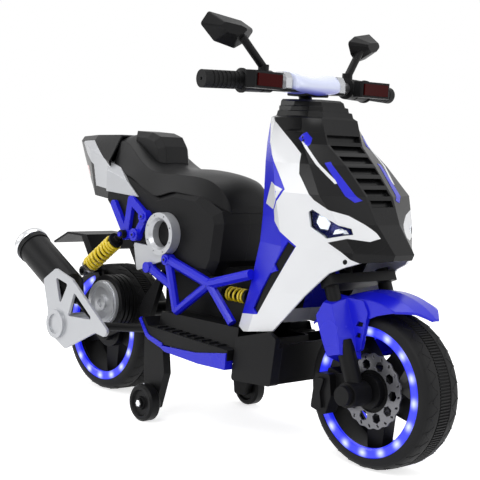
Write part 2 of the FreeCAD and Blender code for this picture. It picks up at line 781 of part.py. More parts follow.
def make_floor():
    heel, rear, belly = along(-122), along(-98), along(-60)
    board = [(heel, floor_z(rear) + 12), (heel + 10, floor_z(rear) + 16), (rear, floor_z(rear)),
             (floor_front_x, floor_front_z), (floor_front_x, floor_front_z - floor_thickness),
             (belly, floor_z(belly) - floor_thickness - 8), (rear, floor_z(rear) - floor_thickness)]
    tread = prism(board, tunnel_half_width, floor_half_width)
    ribs = []
    first_rib = along(-78)
    pitch = (floor_front_x - 18 - first_rib) / rib_count
    for k in range(rib_count):
        x = first_rib + pitch * k
        z = floor_z(x)
        rib = [(x - 5, z - 2), (x - 4, z + rib_height), (x + 4, z + rib_height), (x + 5, z - 2)]
        ribs.append(prism(rib, trellis_y + 8, floor_half_width - 6))
    curb = [(tunnel_half_width, floor_front_z - 12), (tunnel_half_width, curb_top_z),
            (trellis_y + 3, curb_top_z), (trellis_y + 14, floor_front_z - 4),
            (trellis_y + 14, floor_front_z - 12)]
    curb_points = [V(rear - 6, y, z) for y, z in curb]
    curb_length = floor_front_x - 2 - curb_points[0].x
    ledge = Part.Face(Part.makePolygon(curb_points + curb_points[:1])).extrude(V(curb_length, 0, 0))
    left = fuse([tread, ledge] + ribs).cut(hull(0)).cut(body_solid())
    nodes["footboards"] = pair(left)
    under = placed([(-62, 157), (52, 160), (139, 173), (138, 141), (60, 140), (-40, 147)])
    trim = prism(under, floor_half_width - 16, floor_half_width + 3).cut(left).cut(hull(0))
    nodes["floor_trims"] = pair(trim)


def make_belly():
    outline = [(150, 204), (142, 122), (246, 128), (256, 216), (234, 226)]
    half = 125.0
    pan = prism(outline, -half, half, 6)
    well = box(236, 400, -104, 104, 0, 400)
    pocket = prism(inset(outline, panel_wall), -half + 20, half - 20).common(box(0, 228, -200, 200, 0, 400))
    pocket = pocket.fuse(box(156, 228, -half + 20, half - 20, 160, 300))
    pan = pan.cut(well).cut(pocket)
    cutters = [body_solid(), hull(0), nodes["floor_trims"], nodes["footboards"]]
    for cutter in cutters:
        pan = pan.cut(cutter)
    nodes["belly_fairing"] = pan


# Seat and tail
seat_sections = [
    # x, base z and half width, crease z and half width, crown z
    (38, 426, 50, 433, 46, 439), (16, 432, 65, 470, 59, 483), (-12, 446, 72, 485, 64, 496),
    (-56, 454, 76, 491, 68, 503), (-112, 456, 78, 492, 70, 504), (-172, 446, 80, 494, 72, 507),
    (-216, 464, 79, 510, 71, 524), (-262, 482, 77, 538, 64, 553), (-316, 499, 72, 551, 56, 568),
]
pad_outline = placed([(-186, 496), (-196, 546), (-212, 566), (-240, 574), (-292, 576), (-292, 520)])
pad_half = 41.0
pad_bevel = 12.0
tail_sections = [
    # x, top z and half width, middle z and half width, bottom z and half width
    (-225, 474, 60, 462, 80, 436, 62), (-318, 566, 52, 508, 84, 424, 60), (-415, 563, 42, 535, 66, 430, 46),
    (-490, 558, 26, 548, 34, 516, 24),
]
deck_edge = placed([(-318, 499), (-335, 511), (-415, 551), (-470, 548)])
lower_edge = placed([(-470, 548), (-446, 520), (-402, 498), (-404, 452), (-330, 446)])
silver_outline = placed([(-238, 436)]) + deck_edge + lower_edge[1:]
flank_outline = placed([(-208, 440), (-244, 468), (-300, 504), (-334, 514), (-334, 446)])
flank_skin = 3.0
tail_end_x = along(-560)
lamp_front_x = along(-424)
lamp_half = 40.0
lamp_low_z = 470.0
lamp_high_z = 494.0


def make_seat():
    wires = []
    for x, base_z, base_w, crease_z, crease_w, crown_z in seat_sections:
        x = along(x)
        low_right, low_left = V(x, -base_w, base_z), V(x, base_w, base_z)
        high_right, high_left = V(x, -crease_w, crease_z), V(x, crease_w, crease_z)
        crown = Part.Arc(high_left, V(x, 0, crown_z), high_right).toShape()
        edges = [Part.makeLine(low_right, low_left), Part.makeLine(low_left, high_left), crown,
                 Part.makeLine(high_right, low_right)]
        wires.append(Part.Wire(edges))
    seat = Part.makeLoft(wires, True, False)
    pad = beveled_half(pad_outline, pad_half, pad_bevel)
    pad = pad.fuse(mirrored(pad)).removeSplitter()
    nodes["seat"] = seat
    nodes["seat_pad"] = pad.cut(seat)
    for name in ("chassis_half_right", "chassis_half_left"):
        nodes[name] = nodes[name].cut(seat)


def tail_hull(wall):
    wires = []
    for i, (x, top_z, top_w, mid_z, mid_w, low_z, low_w) in enumerate(tail_sections):
        left = [(top_w, top_z), (mid_w, mid_z), (low_w, low_z)]
        outline = left + [(-y, z) for y, z in reversed(left)]
        if wall:
            outline = inset(outline, wall)
            x += wall if i == len(tail_sections) - 1 else 0
        points = [V(along(x), y, z) for y, z in outline]
        wires.append(Part.makePolygon(points + points[:1]))
    return Part.makeLoft(wires, True, True)


def make_tail():
    skin = tail_hull(0).cut(tail_hull(panel_wall))
    for solid in (nodes["seat"], nodes["seat_pad"], body_solid()):
        skin = skin.cut(solid)
    lamp = box(-beyond, lamp_front_x, -lamp_half, lamp_half, lamp_low_z, lamp_high_z)
    nodes["tail_lamp"] = skin.common(lamp)
    skin = skin.cut(lamp)
    silver = prism(silver_outline, -side_reach, side_reach)
    panel = skin.common(silver).common(box(-beyond, beyond, 0, side_reach, 0, beyond))
    swollen = beveled_half(inset(body_outline, -flank_skin), body_half_width + flank_skin, body_bevel)
    flank = mirrored(swollen).common(prism(flank_outline, 0, side_reach)).cut(body_solid()).cut(nodes["seat"])
    flank = flank.common(box(-beyond, beyond, body_half_width / 2, side_reach, 0, beyond))
    nodes["tail_panels"] = pair(fuse([panel, flank]))
    rest = skin.cut(silver)
    rest = rest.cut(nodes["tail_panels"])
    above = deck_edge + [(tail_end_x, 520), (tail_end_x, 620), (along(-313), 620)]
    nodes["tail_deck"] = rest.common(prism(above, -side_reach, side_reach))
    front_low = along(-238)
    below = [(tail_end_x, 520)] + lower_edge + [(front_low, 436), (front_low, 380), (tail_end_x, 380)]
    nodes["tail_lower"] = rest.common(prism(below, -side_reach, side_reach))


make_chassis()
make_floor()
make_belly()
make_seat()
make_tail()


# Side frames, links and intakes on the body
link_width = 17.0
link_outer_y = body_half_width + 9.0
upper_eye = V(along(-240), 0, 360)
lower_eye = V(along(-372), 0, 268)
link_tail = V(along(-285), 0, 420)
link_front = V(along(-176), 0, 402)
link_mid = V(along(-226), 0, 433)
link_low = V(along(-204), 0, 362)


def strap(start, end, width, y0, y1):
    """A flat bar with round ends between two points of a side view."""
    along = (end - start).normalize()
    across = V(-along.z, 0, along.x) * (width / 2.0)
    corners = [start + across, end + across, end - across, start - across]
    flat = prism([(c.x, c.z) for c in corners], y0, y1)
    ends = [cylinder_y(p.x, p.z, width / 2.0, min(y0, y1), max(y0, y1)) for p in (start, end)]
    return fuse([flat] + ends)


def chamfered_bar(start, end, radius):
    """Eight-sided bar with flats this far from its axis."""
    along = (end - start).normalize()
    across = V(0, 1, 0)
    up = along.cross(across)
    corner = radius / math.cos(math.pi / 8)
    ring = []
    for k in range(8):
        angle = math.pi / 8 + k * math.pi / 4
        ring.append(start + across * (corner * math.cos(angle)) + up * (corner * math.sin(angle)))
    return Part.Face(Part.makePolygon(ring + ring[:1])).extrude(end - start)


def make_trellis():
    y = trellis_y
    rear, knee, front = V(along(-93), y, 322), V(along(34), y, 288), V(150, y, 320)
    foot, toe = V(along(-62), y, 221), V(along(104), y, 221)
    second, middle = V(along(-153), y, 300), V(along(-74), y, 268)
    rails = [(rear, knee), (knee, front)]
    braces = [(rear, foot), (foot, knee), (knee, toe), (second, middle)]
    pieces = [chamfered_bar(start, end, trellis_radius) for start, end in rails]
    pieces += [chamfered_bar(start, end, brace_radius) for start, end in braces]
    for boss in (rear, second):
        pieces.append(cylinder_y(boss.x, boss.z, 11, body_half_width, y + trellis_radius + 1))
    frame = fuse(pieces)
    for name in ("chassis_half_left", "footboards"):
        frame = frame.cut(nodes[name])
    frame = frame.cut(hull(0))
    nodes["trellis_frames"] = pair(frame)


def make_links():
    runs = [(link_tail, upper_eye), (link_mid, link_front), (upper_eye, link_mid), (upper_eye, link_low),
            (link_low, link_front)]
    bars = [strap(start, end, link_width, body_half_width, link_outer_y) for start, end in runs]
    for boss in (link_front, link_low):
        bars.append(cylinder_y(boss.x, boss.z, 13, body_half_width, link_outer_y + 7))
    bars.append(cylinder_y(upper_eye.x, upper_eye.z, 12, body_half_width, shock_y - eye_half - moving_gap))
    bars.append(cylinder_y(upper_eye.x, upper_eye.z, shock_pin_radius, link_outer_y, shock_y + 9))
    nodes["rear_links"] = pair(fuse(bars).cut(nodes["tail_panels"]))


intake_x, intake_z = along(-113), 372.0
flare_depth = 7.0
flare_width = 6.0
bolt_ring_radius = 38.0
bolt_count = 8


def make_intakes():
    face_y = body_half_width + ring_boss_depth
    ring = cylinder_y(intake_x, intake_z, ring_boss_radius, body_half_width, face_y)
    ring = ring.cut(cylinder_y(intake_x, intake_z, ring_bore_radius, body_half_width - 1, face_y + 1))
    flare_start = V(intake_x, face_y - flare_depth, intake_z)
    wide = ring_bore_radius + flare_width
    ring = ring.cut(Part.makeCone(ring_bore_radius, wide, flare_depth, flare_start, V(0, 1, 0)))
    for k in range(bolt_count):
        angle = 2 * math.pi * (k + 0.5) / bolt_count
        bolt_x = intake_x + bolt_ring_radius * math.cos(angle)
        bolt_z = intake_z + bolt_ring_radius * math.sin(angle)
        ring = ring.cut(cylinder_y(bolt_x, bolt_z, 1.6, face_y - 3, face_y + 1))
    outline = placed([(-211, 346), (-197, 288), (-112, 318), (-112, 340)])
    plate = prism(outline, body_half_width, body_half_width + 8, 5)
    trim = fuse([ring, plate]).cut(nodes["trellis_frames"]).cut(nodes["rear_links"])
    nodes["intake_trims"] = pair(trim)


# Rear unit: swing arm with the drive, covers, silencer and guard
drum_x, drum_z = along(-290), 210.0
drum_depth = 42.0
arm_outer_y = arm_inner_y + arm_wall


def make_swingarm():
    plate = [
        (pivot_x + 10, pivot_z - 13), (rear_axle_x + 20, axle_z - 22), (rear_axle_x - 20, axle_z - 14),
        (rear_axle_x - 22, axle_z + 18), (lower_eye.x - 12, lower_eye.z), (lower_eye.x, lower_eye.z + 12),
        (lower_eye.x + 12, lower_eye.z + 2), (rear_axle_x + 50, axle_z + 52), (pivot_x + 8, pivot_z + 15),
    ]
    pieces = [cylinder_y(pivot_x, pivot_z, pivot_boss_radius, -arm_outer_y, arm_outer_y)]
    for side in (-1, 1):
        pieces.append(prism(plate, side * arm_inner_y, side * arm_outer_y))
        low, high = sorted((side * arm_outer_y, side * (shock_y + 9)))
        pieces.append(cylinder_y(lower_eye.x, lower_eye.z, shock_pin_radius, low, high))
    drum = cylinder_y(drum_x, drum_z, drum_radius, -arm_outer_y - drum_depth, -arm_outer_y)
    for k in range(3):
        y = -arm_outer_y - 12 - 11 * k
        groove = cylinder_y(drum_x, drum_z, drum_radius + 2, y, y + 4)
        groove = groove.cut(cylinder_y(drum_x, drum_z, drum_radius - 5, y - 1, y + 5))
        drum = drum.cut(groove)
    pieces.append(drum)
    arm = fuse(pieces)
    arm = arm.cut(cylinder_y(pivot_x, pivot_z, pivot_radius + running_gap, -arm_outer_y - 1, arm_outer_y + 1))
    nodes["swingarm"] = arm.cut(cylinder_y(rear_axle_x, axle_z, axle_radius, -100, 100))


def make_drive():
    pieces = [cylinder_y(rear_axle_x, axle_z, axle_radius, -arm_outer_y - 12, arm_outer_y + 14)]
    for side in (-1, 1):
        low, high = sorted((side * (hub_half_width + moving_gap), side * arm_inner_y))
        pieces.append(cylinder_y(rear_axle_x, axle_z, 10, low, high))
    pieces.append(cylinder_y(rear_axle_x, axle_z, 11, -arm_outer_y - 8, -arm_outer_y))
    axle = fuse(pieces)
    nodes["rear_axle"] = axle
    case = placed([(-402, 116), (-350, 96), (-285, 130), (-268, 178), (-305, 206), (-360, 190), (-404, 165)])
    gearbox = prism(case, arm_outer_y, arm_outer_y + 34, 10)
    motor = cylinder_y(along(-305), 165, 19, arm_outer_y + 34, arm_outer_y + 74)
    nodes["drive_gearbox"] = fuse([gearbox, motor]).cut(axle).cut(nodes["swingarm"])
    face = -arm_outer_y - drum_depth
    cover = [cylinder_y(drum_x, drum_z, cover_radius, face - 8, face)]
    rim = cylinder_y(drum_x, drum_z, 44, face - 13, face - 8)
    rim = rim.cut(cylinder_y(drum_x, drum_z, 34, face - 14, face))
    cover += [rim, cylinder_y(drum_x, drum_z, 17, face - 14, face - 8)]
    cover = fuse(cover).cut(cylinder_y(drum_x, drum_z, 9, face - 15, face - 10))
    nodes["engine_cover"] = cover


muffler_front = V(along(-352), muffler_y, 236)
muffler_rear = V(along(-484), muffler_y, 306)
plate_inner_y = muffler_y - muffler_radius


def make_exhaust():
    axis = (muffler_rear - muffler_front).normalize()
    can = rod(muffler_front, muffler_rear, muffler_radius)
    cone = Part.makeCone(12, muffler_radius, 44, muffler_front - axis * 44, axis)
    bend = V(along(-242), muffler_y + 8, 168)
    tip = V(along(-142), -102, 176)
    start = muffler_front - axis * 43
    pipe = [rod(start, bend, 9), Part.makeSphere(9, bend), rod(bend, tip, 9)]
    collar = rod(tip, tip + (tip - bend).normalize() * 5, 13)
    body = fuse([can, cone] + pipe + [collar])
    ring_end = muffler_rear + axis * 26
    ring = rod(muffler_rear, ring_end, muffler_radius + 2)
    ring = ring.cut(rod(muffler_rear - axis, ring_end + axis, muffler_radius - 9))
    nodes["muffler"] = Part.Compound([body, ring])
    outline = placed([
        (-386, 252), (-342, 280), (-282, 264), (-152, 174), (-164, 161), (-196, 165), (-300, 116),
        (-368, 146), (-366, 188),
    ])
    plate = prism(outline, plate_inner_y - 6, plate_inner_y, 7)
    for window in ([(-340, 262), (-296, 252), (-322, 206)], [(-272, 238), (-204, 190), (-292, 186)]):
        plate = plate.cut(prism(placed(window), plate_inner_y - 7, plate_inner_y + 1, 4))
    hub_x = along(-332)
    hub = cylinder_y(hub_x, 164, 30, plate_inner_y - 12, plate_inner_y)
    dimple = cylinder_y(hub_x, 164, 21, plate_inner_y - 13, plate_inner_y - 8)
    stay = cylinder_y(along(-318), 178, 9, plate_inner_y, -arm_outer_y - drum_depth)
    seat_boss = cylinder_y(along(-358), 239, 12, plate_inner_y, plate_inner_y + 20)
    bracket = fuse([plate, hub, stay, seat_boss]).cut(dimple)
    nodes["exhaust_bracket"] = bracket.cut(body).cut(nodes["engine_cover"])


def make_mudguard():
    deck = placed([
        (-398, 312), (-420, 342), (-493, 342), (-547, 316), (-545, 312), (-492, 337.5), (-423, 337.5),
        (-403, 309),
    ])
    half = arm_outer_y + 4
    pieces = [prism(deck, -half, half)]
    for side in (-1, 1):
        skirt = [(lower_eye.x - 8, 250), (lower_eye.x + 8, 252)]
        skirt += placed([(-398, 312), (-424, 338), (-440, 338)])
        pieces.append(prism(skirt, side * arm_outer_y, side * half))
    nodes["mudguard"] = fuse(pieces).cut(nodes["swingarm"])


# Rear dampers with their coil springs
shock_length = (lower_eye - upper_eye).Length
shock_dir = (lower_eye - upper_eye).normalize()
damper_start = 15.0
damper_end = 95.0
seat_thickness = 5.0
upper_seat = 24.0
lower_seat = shock_length - 26.0
rod_start = 60.0
rod_bore_start = 40.0


def shock_point(distance):
    return V(upper_eye.x, shock_y, upper_eye.z) + shock_dir * distance


def biarc(p0, t0, p1, t1):
    """Two arcs that run smoothly from one point and direction to another."""
    chord = p1 - p0
    both = t0 + t1
    spread = 1.0 - t0.dot(t1)
    lean = chord.dot(both)
    reach = (math.sqrt(lean ** 2 + 2 * spread * chord.dot(chord)) - lean) / (2 * spread)
    joint = (p0 + p1 + (t0 - t1) * reach) * 0.5
    edges = []
    for a, corner, b in ((p0, p0 + t0 * reach, joint), (joint, p1 - t1 * reach, p1)):
        middle = (a + b) * 0.5
        half = (b - a).Length / 2.0
        rise = corner - middle
        angle = math.atan2(rise.Length, half)
        edges.append(Part.Arc(a, middle + rise * (math.tan(angle / 2) / math.tan(angle)), b).toShape())
    return edges


def coil(start, axis, length, turns, radius, wire):
    """One unbroken round wire wound from a start point along an axis."""
    side = V(0, 1, 0)
    third = axis.cross(side)
    steps = int(round(turns * 4))
    pitch = length / turns

    def place(angle):
        spoke = (side * math.cos(angle) + third * math.sin(angle)) * radius
        return start + axis * (pitch * angle / (2 * math.pi)) + spoke

    def heading(angle):
        turn = (third * math.cos(angle) - side * math.sin(angle)) * radius + axis * (pitch / (2 * math.pi))
        return turn.normalize()

    angles = [math.pi / 2 * k for k in range(steps + 1)]
    edges = [Part.makeLine(place(0) - heading(0) * wire, place(0))]
    for a, b in zip(angles, angles[1:]):
        edges += biarc(place(a), heading(a), place(b), heading(b))
    last = angles[-1]
    edges.append(Part.makeLine(place(last), place(last) + heading(last) * wire))
    path = Part.Wire(edges)
    profile = Part.Wire([Part.makeCircle(wire / 2.0, place(0) - heading(0) * wire, heading(0))])
    winding = path.makePipeShell([profile], True, False)
    points = [place(2 * math.pi * turns * k / 400.0) for k in range(401)]
    apart = [(p - q).Length for i, p in enumerate(points) for q in points[i + int(300 / turns):]]
    ratio = winding.Volume / (path.Length * math.pi * wire ** 2 / 4)
    print("coil gap to itself", round(min(apart) - wire, 2), "volume ratio", round(ratio, 4))
    return winding


def make_shocks():
    eye = cylinder_y(upper_eye.x, upper_eye.z, shock_eye_radius, shock_y - eye_half, shock_y + eye_half)
    neck = rod(shock_point(2), shock_point(damper_start + 1), eye_half - moving_gap)
    body = rod(shock_point(damper_start), shock_point(damper_end), damper_radius)
    seat_radius = coil_radius + coil_wire / 2.0
    seat = rod(shock_point(upper_seat), shock_point(upper_seat + seat_thickness), seat_radius)
    damper = fuse([eye, neck, body, seat])
    bore = rod(shock_point(rod_bore_start), shock_point(damper_end + 1), rod_radius + running_gap)
    damper = damper.cut(bore)
    pin_hole = shock_pin_radius + running_gap
    damper = damper.cut(cylinder_y(upper_eye.x, upper_eye.z, pin_hole, shock_y - 20, shock_y + 20))
    nodes["shock_dampers"] = pair(damper)
    low_radius = shock_eye_radius + open_pivot_gap
    low = cylinder_y(lower_eye.x, lower_eye.z, low_radius, shock_y - eye_half, shock_y + eye_half)
    shaft = rod(shock_point(rod_start), shock_point(shock_length - 6), rod_radius)
    foot = rod(shock_point(lower_seat), shock_point(lower_seat + seat_thickness), seat_radius)
    piston = fuse([low, shaft, foot])
    loose_hole = shock_pin_radius + open_pivot_gap
    piston = piston.cut(cylinder_y(lower_eye.x, lower_eye.z, loose_hole, shock_y - 20, shock_y + 20))
    nodes["shock_rods"] = pair(piston)
    seat_gap = 1.4
    first = upper_seat + seat_thickness + coil_wire / 2.0 + seat_gap
    last = lower_seat - coil_wire / 2.0 - seat_gap
    spring = coil(shock_point(first), shock_dir, last - first, coil_turns, coil_radius, coil_wire)
    nodes["shock_springs"] = pair(spring)


def make_front_coils():
    first = coil_holder_x + coil_holder_wall + coil_wire / 2.0 + 0.6
    last = coil_holder_x + coil_holder_length - coil_holder_wall - coil_wire / 2.0 - 0.6
    start = V(first, coil_holder_y, coil_holder_z)
    spring = coil(start, V(1, 0, 0), last - first, front_coil_turns, coil_radius - 1.5, coil_wire - 1)
    nodes["front_springs"] = pair(spring)


# Stabilisers
def make_stabilisers():
    top = floor_z(stabiliser_x) - floor_thickness + 2
    inner = stabiliser_y - leg_wall / 2.0
    outer = stabiliser_y + leg_wall / 2.0
    z = stabiliser_radius
    outline = [(stabiliser_x - 26, top), (stabiliser_x + 30, top), (stabiliser_x + 40, 100),
               (stabiliser_x + 16, z - 12), (stabiliser_x - 14, z - 12), (stabiliser_x - 24, 90)]
    leg = prism(outline, inner, outer, 6)
    pin = cylinder_y(stabiliser_x, z, stabiliser_axle_radius, outer, outer + stabiliser_width + 4)
    cap_y = outer + stabiliser_width
    cap = cylinder_y(stabiliser_x, z, 10, cap_y + 2 * moving_gap, cap_y + 5)
    leg = fuse([leg, pin, cap]).cut(nodes["footboards"]).cut(nodes["floor_trims"])
    nodes["stabiliser_legs"] = pair(leg)
    y0 = outer + moving_gap
    y1 = y0 + stabiliser_width
    centre = V(stabiliser_x, 0, z)
    bore = stabiliser_axle_radius + running_gap
    inner = [(0, bore), (0, 12), (5, 14), (5, 24), (0, 27), (0, z - 4), (4, z)]
    profile = [(y0 + y, r) for y, r in inner] + [(y1 - y, r) for y, r in reversed(inner)]
    wheel = revolve_y(profile, centre)
    nodes["stabiliser_wheel_left"] = wheel
    nodes["stabiliser_wheel_right"] = mirrored(wheel)


# Inner pieces: battery, start button and the raised locker lid on the rider's side
battery_gap = 34.0
battery_height = 84.0
button_face_x = 155.0
button_y = -44.0
button_z = 582.0
button_radius = 9.0
locker_outline = [(172, 492), (150, 497), (149, 556), (170, 562)]
locker_half = 58.0


def make_inner():
    floor = tunnel_floor_z + panel_wall
    nodes["battery"] = box(along(-110), down_foot_x - battery_gap, -36, 36, floor, floor + battery_height)
    across, up = V(1, 0, 0), V(button_face_x, button_y, button_z)
    stem = Part.makeCylinder(button_radius, 16, up - across * 6, across)
    flange = Part.makeCylinder(button_radius + 3, 3, up + across * (panel_wall + 3.5), across)
    nodes["start_button"] = stem.fuse(flange)
    locker = prism(locker_outline, -locker_half, locker_half, 4)
    wall, *backings = nodes["inner_panel"].Solids
    panel = fuse([wall, locker.cut(hull(panel_wall))])
    panel = panel.cut(Part.makeCylinder(button_radius + 0.3, 40, up - across * 20, across))
    nodes["inner_panel"] = Part.Compound([panel] + backings)


make_trellis()
make_links()
make_intakes()
make_swingarm()
make_drive()
make_exhaust()
make_mudguard()
make_shocks()
make_front_coils()
make_stabilisers()
make_inner()

os.makedirs("parts", exist_ok=True)
for name, shape in nodes.items():
    print(name, shape.isValid(), len(shape.Solids), round(shape.Volume))
    shape.exportStep("parts/" + name + ".step")
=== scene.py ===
# %% [markdown]
# # A child's ride-on motorbike in scooter style
# The solids of this bike come from a CAD model that is already packed with its moving bodies.
# This lesson dresses them: it lights a small studio, mixes the plastics, metals and rubber,
# and adds what a plain solid lacks, such as tread ribs, coil springs, lamps, stripes and screws.
# Everything is in metres. +X is the way the bike rides, +Y is the rider's left, and +Z is up.

# %% Load the frame
import math

import bmesh
import bpy
from mathutils import Matrix, Vector
from mathutils.bvhtree import BVHTree


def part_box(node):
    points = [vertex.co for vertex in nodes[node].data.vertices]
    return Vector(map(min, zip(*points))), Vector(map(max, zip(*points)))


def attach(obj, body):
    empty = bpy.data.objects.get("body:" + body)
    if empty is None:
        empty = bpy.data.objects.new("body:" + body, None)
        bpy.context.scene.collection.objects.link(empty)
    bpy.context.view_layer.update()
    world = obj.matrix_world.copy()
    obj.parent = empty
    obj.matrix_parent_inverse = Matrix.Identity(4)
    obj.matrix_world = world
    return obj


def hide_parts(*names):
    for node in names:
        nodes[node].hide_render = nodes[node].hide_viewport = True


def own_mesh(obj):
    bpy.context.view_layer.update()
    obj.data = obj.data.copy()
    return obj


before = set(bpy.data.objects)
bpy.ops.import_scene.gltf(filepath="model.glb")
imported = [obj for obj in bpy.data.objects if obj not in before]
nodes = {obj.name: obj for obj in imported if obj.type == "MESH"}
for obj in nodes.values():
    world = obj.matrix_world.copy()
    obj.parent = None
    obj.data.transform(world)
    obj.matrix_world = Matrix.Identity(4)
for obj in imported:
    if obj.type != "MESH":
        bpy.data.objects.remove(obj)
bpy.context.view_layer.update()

# %% [markdown]
# ## The camera
# The picture was taken from the front right, at about the height of the nose, with a long lens.
# A camera can be aimed by a constraint that tracks a point. Here its three axes and its place are written as
# the columns of one matrix, because the view was measured from the picture and has to stay as it is.
# A camera looks along its own -Z axis, and the small shift moves the frame without turning it.

# %% Camera
def placed(name, data):
    """Makes an object from a camera, a lamp or a mesh and links it to the scene."""
    thing = bpy.data.objects.new(name, data)
    bpy.context.scene.collection.objects.link(thing)
    return thing


camera_data = bpy.data.cameras.new("photo_camera")
camera = placed("photo_camera", camera_data)
camera_right = Vector((0.68821, 0.72385, 0.04910))
camera_up = Vector((-0.10937, 0.03660, 0.99333))
camera_back = Vector((0.71722, -0.68899, 0.10435))
camera_eye = Vector((1.76365, -1.61902, 0.57188))
turn = Matrix((camera_right, camera_up, camera_back)).transposed()
camera.matrix_world = Matrix.Translation(camera_eye) @ turn.to_4x4()
camera_data.sensor_width = 36.0
camera_data.lens = 90.0
camera_data.shift_x = -0.0438
camera_data.shift_y = 0.0518
camera_data.clip_end = 50.0
bpy.context.scene.camera = camera
print("camera", [round(c, 3) for c in camera.location])

# %% [markdown]
# ## The studio
# A product shot has a white room: a pale floor that runs into a white background, and large soft lamps.
# A curved backdrop could be modelled, but a wide floor and a white world are simpler and show no seam.
# The background is white only for rays that come from the camera or from a mirror or a lens.
# For all other rays it is a dimmer grey, so that the bike isn't flooded with light from every side.

# %% Floor, background and lamps
bpy.context.scene.view_settings.view_transform = "Standard"


def link_value(tree, value, socket):
    """Joins a socket to another one, or writes a plain number or colour into it."""
    if isinstance(value, bpy.types.NodeSocket):
        tree.links.new(value, socket)
    elif value is not None:
        socket.default_value = value


def maths(tree, operation, first, second=None, third=None):
    """Adds one Math node and returns its result."""
    node = tree.nodes.new("ShaderNodeMath")
    node.operation = operation
    for value, socket in zip((first, second, third), node.inputs):
        link_value(tree, value, socket)
    return node.outputs[0]


def seen_rays(tree):
    """Gives 1 for rays that show the background: camera, mirror and lens rays."""
    path = tree.nodes.new("ShaderNodeLightPath")
    shown = maths(tree, "MAXIMUM", path.outputs["Is Camera Ray"], path.outputs["Is Glossy Ray"])
    return maths(tree, "MAXIMUM", shown, path.outputs["Is Transmission Ray"])


def new_finish(name):
    """Starts a material and returns it with its tree and its shader."""
    material = bpy.data.materials.new(name)
    material.use_nodes = True
    return material, material.node_tree, material.node_tree.nodes["Principled BSDF"]


def fill(node, values):
    """Writes plain values into the named sockets of a node."""
    for label, value in values.items():
        node.inputs[label].default_value = value


world = bpy.data.worlds.new("white_room")
world.use_nodes = True
bpy.context.scene.world = world
sky = world.node_tree.nodes["Background"]
sky.inputs["Color"].default_value = (1, 1, 1, 1)
room_light = 0.42
dimmed = maths(world.node_tree, "MULTIPLY_ADD", seen_rays(world.node_tree), 1 - room_light, room_light)
world.node_tree.links.new(dimmed, sky.inputs["Strength"])

floor_mesh = bpy.data.meshes.new("studio_floor")
floor_half = 9.0
floor_drop = 0.0004
floor_corners = [(-1, -1), (1, -1), (1, 1), (-1, 1)]
floor_places = [(x * floor_half, y * floor_half, -floor_drop) for x, y in floor_corners]
floor_mesh.from_pydata(floor_places, [], [(0, 1, 2, 3)])
floor = placed("studio_floor", floor_mesh)
floor_paint, floor_tree, floor_bsdf = new_finish("studio_white")
fill(floor_bsdf, {
    "Base Color": (0.90, 0.90, 0.90, 1), "Roughness": 0.9, "Specular IOR Level": 0.0,
    "Emission Color": (1, 1, 1, 1)})
floor_glow = 0.72
shown_glow = maths(floor_tree, "MULTIPLY", seen_rays(floor_tree), floor_glow)
floor_tree.links.new(shown_glow, floor_bsdf.inputs["Emission Strength"])
floor_mesh.materials.append(floor_paint)


def softbox(name, place, aim, size, power):
    """Hangs one square lamp at a place and turns it towards a point."""
    lamp = bpy.data.lights.new(name, "AREA")
    lamp.shape = "SQUARE"
    lamp.size = size
    lamp.energy = power
    hung = placed(name, lamp)
    hung.location = place
    hung.rotation_euler = (Vector(aim) - Vector(place)).to_track_quat("-Z", "Y").to_euler()


bike_middle = (0.0, 0.0, 0.35)
softbox("key_lamp", (1.3, -2.3, 2.5), bike_middle, 1.6, 42)
softbox("fill_lamp", (2.6, 1.3, 1.5), bike_middle, 1.8, 18)
softbox("top_lamp", (-0.6, 0.2, 3.0), bike_middle, 2.2, 30)
softbox("rear_lamp", (-2.2, -1.8, 1.6), bike_middle, 1.4, 18)

# %% [markdown]
# ## Moulded plastic
# Nearly all of this bike is injection-moulded plastic. Close up it is never one flat colour: the mould
# leaves a fine grain, the gloss drifts a little from place to place, and each edge has a small radius
# that catches light. Painted pictures could show this, but they need unwrapped surfaces. Noise on object
# coordinates doesn't. These effects are shared, so they live in one shader node group with named inputs,
# and each material places the group with values of its own.

# %% The moulded skin group
skin = bpy.data.node_groups.new("moulded_skin", "ShaderNodeTree")
skin_inputs = {
    "Colour": ("NodeSocketColor", (0.8, 0.8, 0.8, 1)),
    "Tint Drift": ("NodeSocketFloat", 0.08),
    "Gloss": ("NodeSocketFloat", 0.3),
    "Gloss Drift": ("NodeSocketFloat", 0.08),
    "Grain Size": ("NodeSocketFloat", 900.0),
    "Grain Depth": ("NodeSocketFloat", 0.1),
    "Edge Radius": ("NodeSocketFloat", 0.0012),
}
for label, (kind, start) in skin_inputs.items():
    socket = skin.interface.new_socket(name=label, in_out="INPUT", socket_type=kind)
    socket.default_value = start
skin_outputs = {"Colour": "NodeSocketColor", "Gloss": "NodeSocketFloat", "Normal": "NodeSocketVector"}
for label, kind in skin_outputs.items():
    skin.interface.new_socket(name=label, in_out="OUTPUT", socket_type=kind)
entry = skin.nodes.new("NodeGroupInput")
leave = skin.nodes.new("NodeGroupOutput")
place = skin.nodes.new("ShaderNodeTexCoord").outputs["Object"]


def noise(tree, where, scale, detail=2.0):
    """Adds a noise pattern on object coordinates and returns its grey value."""
    pattern = tree.nodes.new("ShaderNodeTexNoise")
    tree.links.new(where, pattern.inputs["Vector"])
    link_value(tree, scale, pattern.inputs["Scale"])
    pattern.inputs["Detail"].default_value = detail
    return pattern.outputs["Fac"]


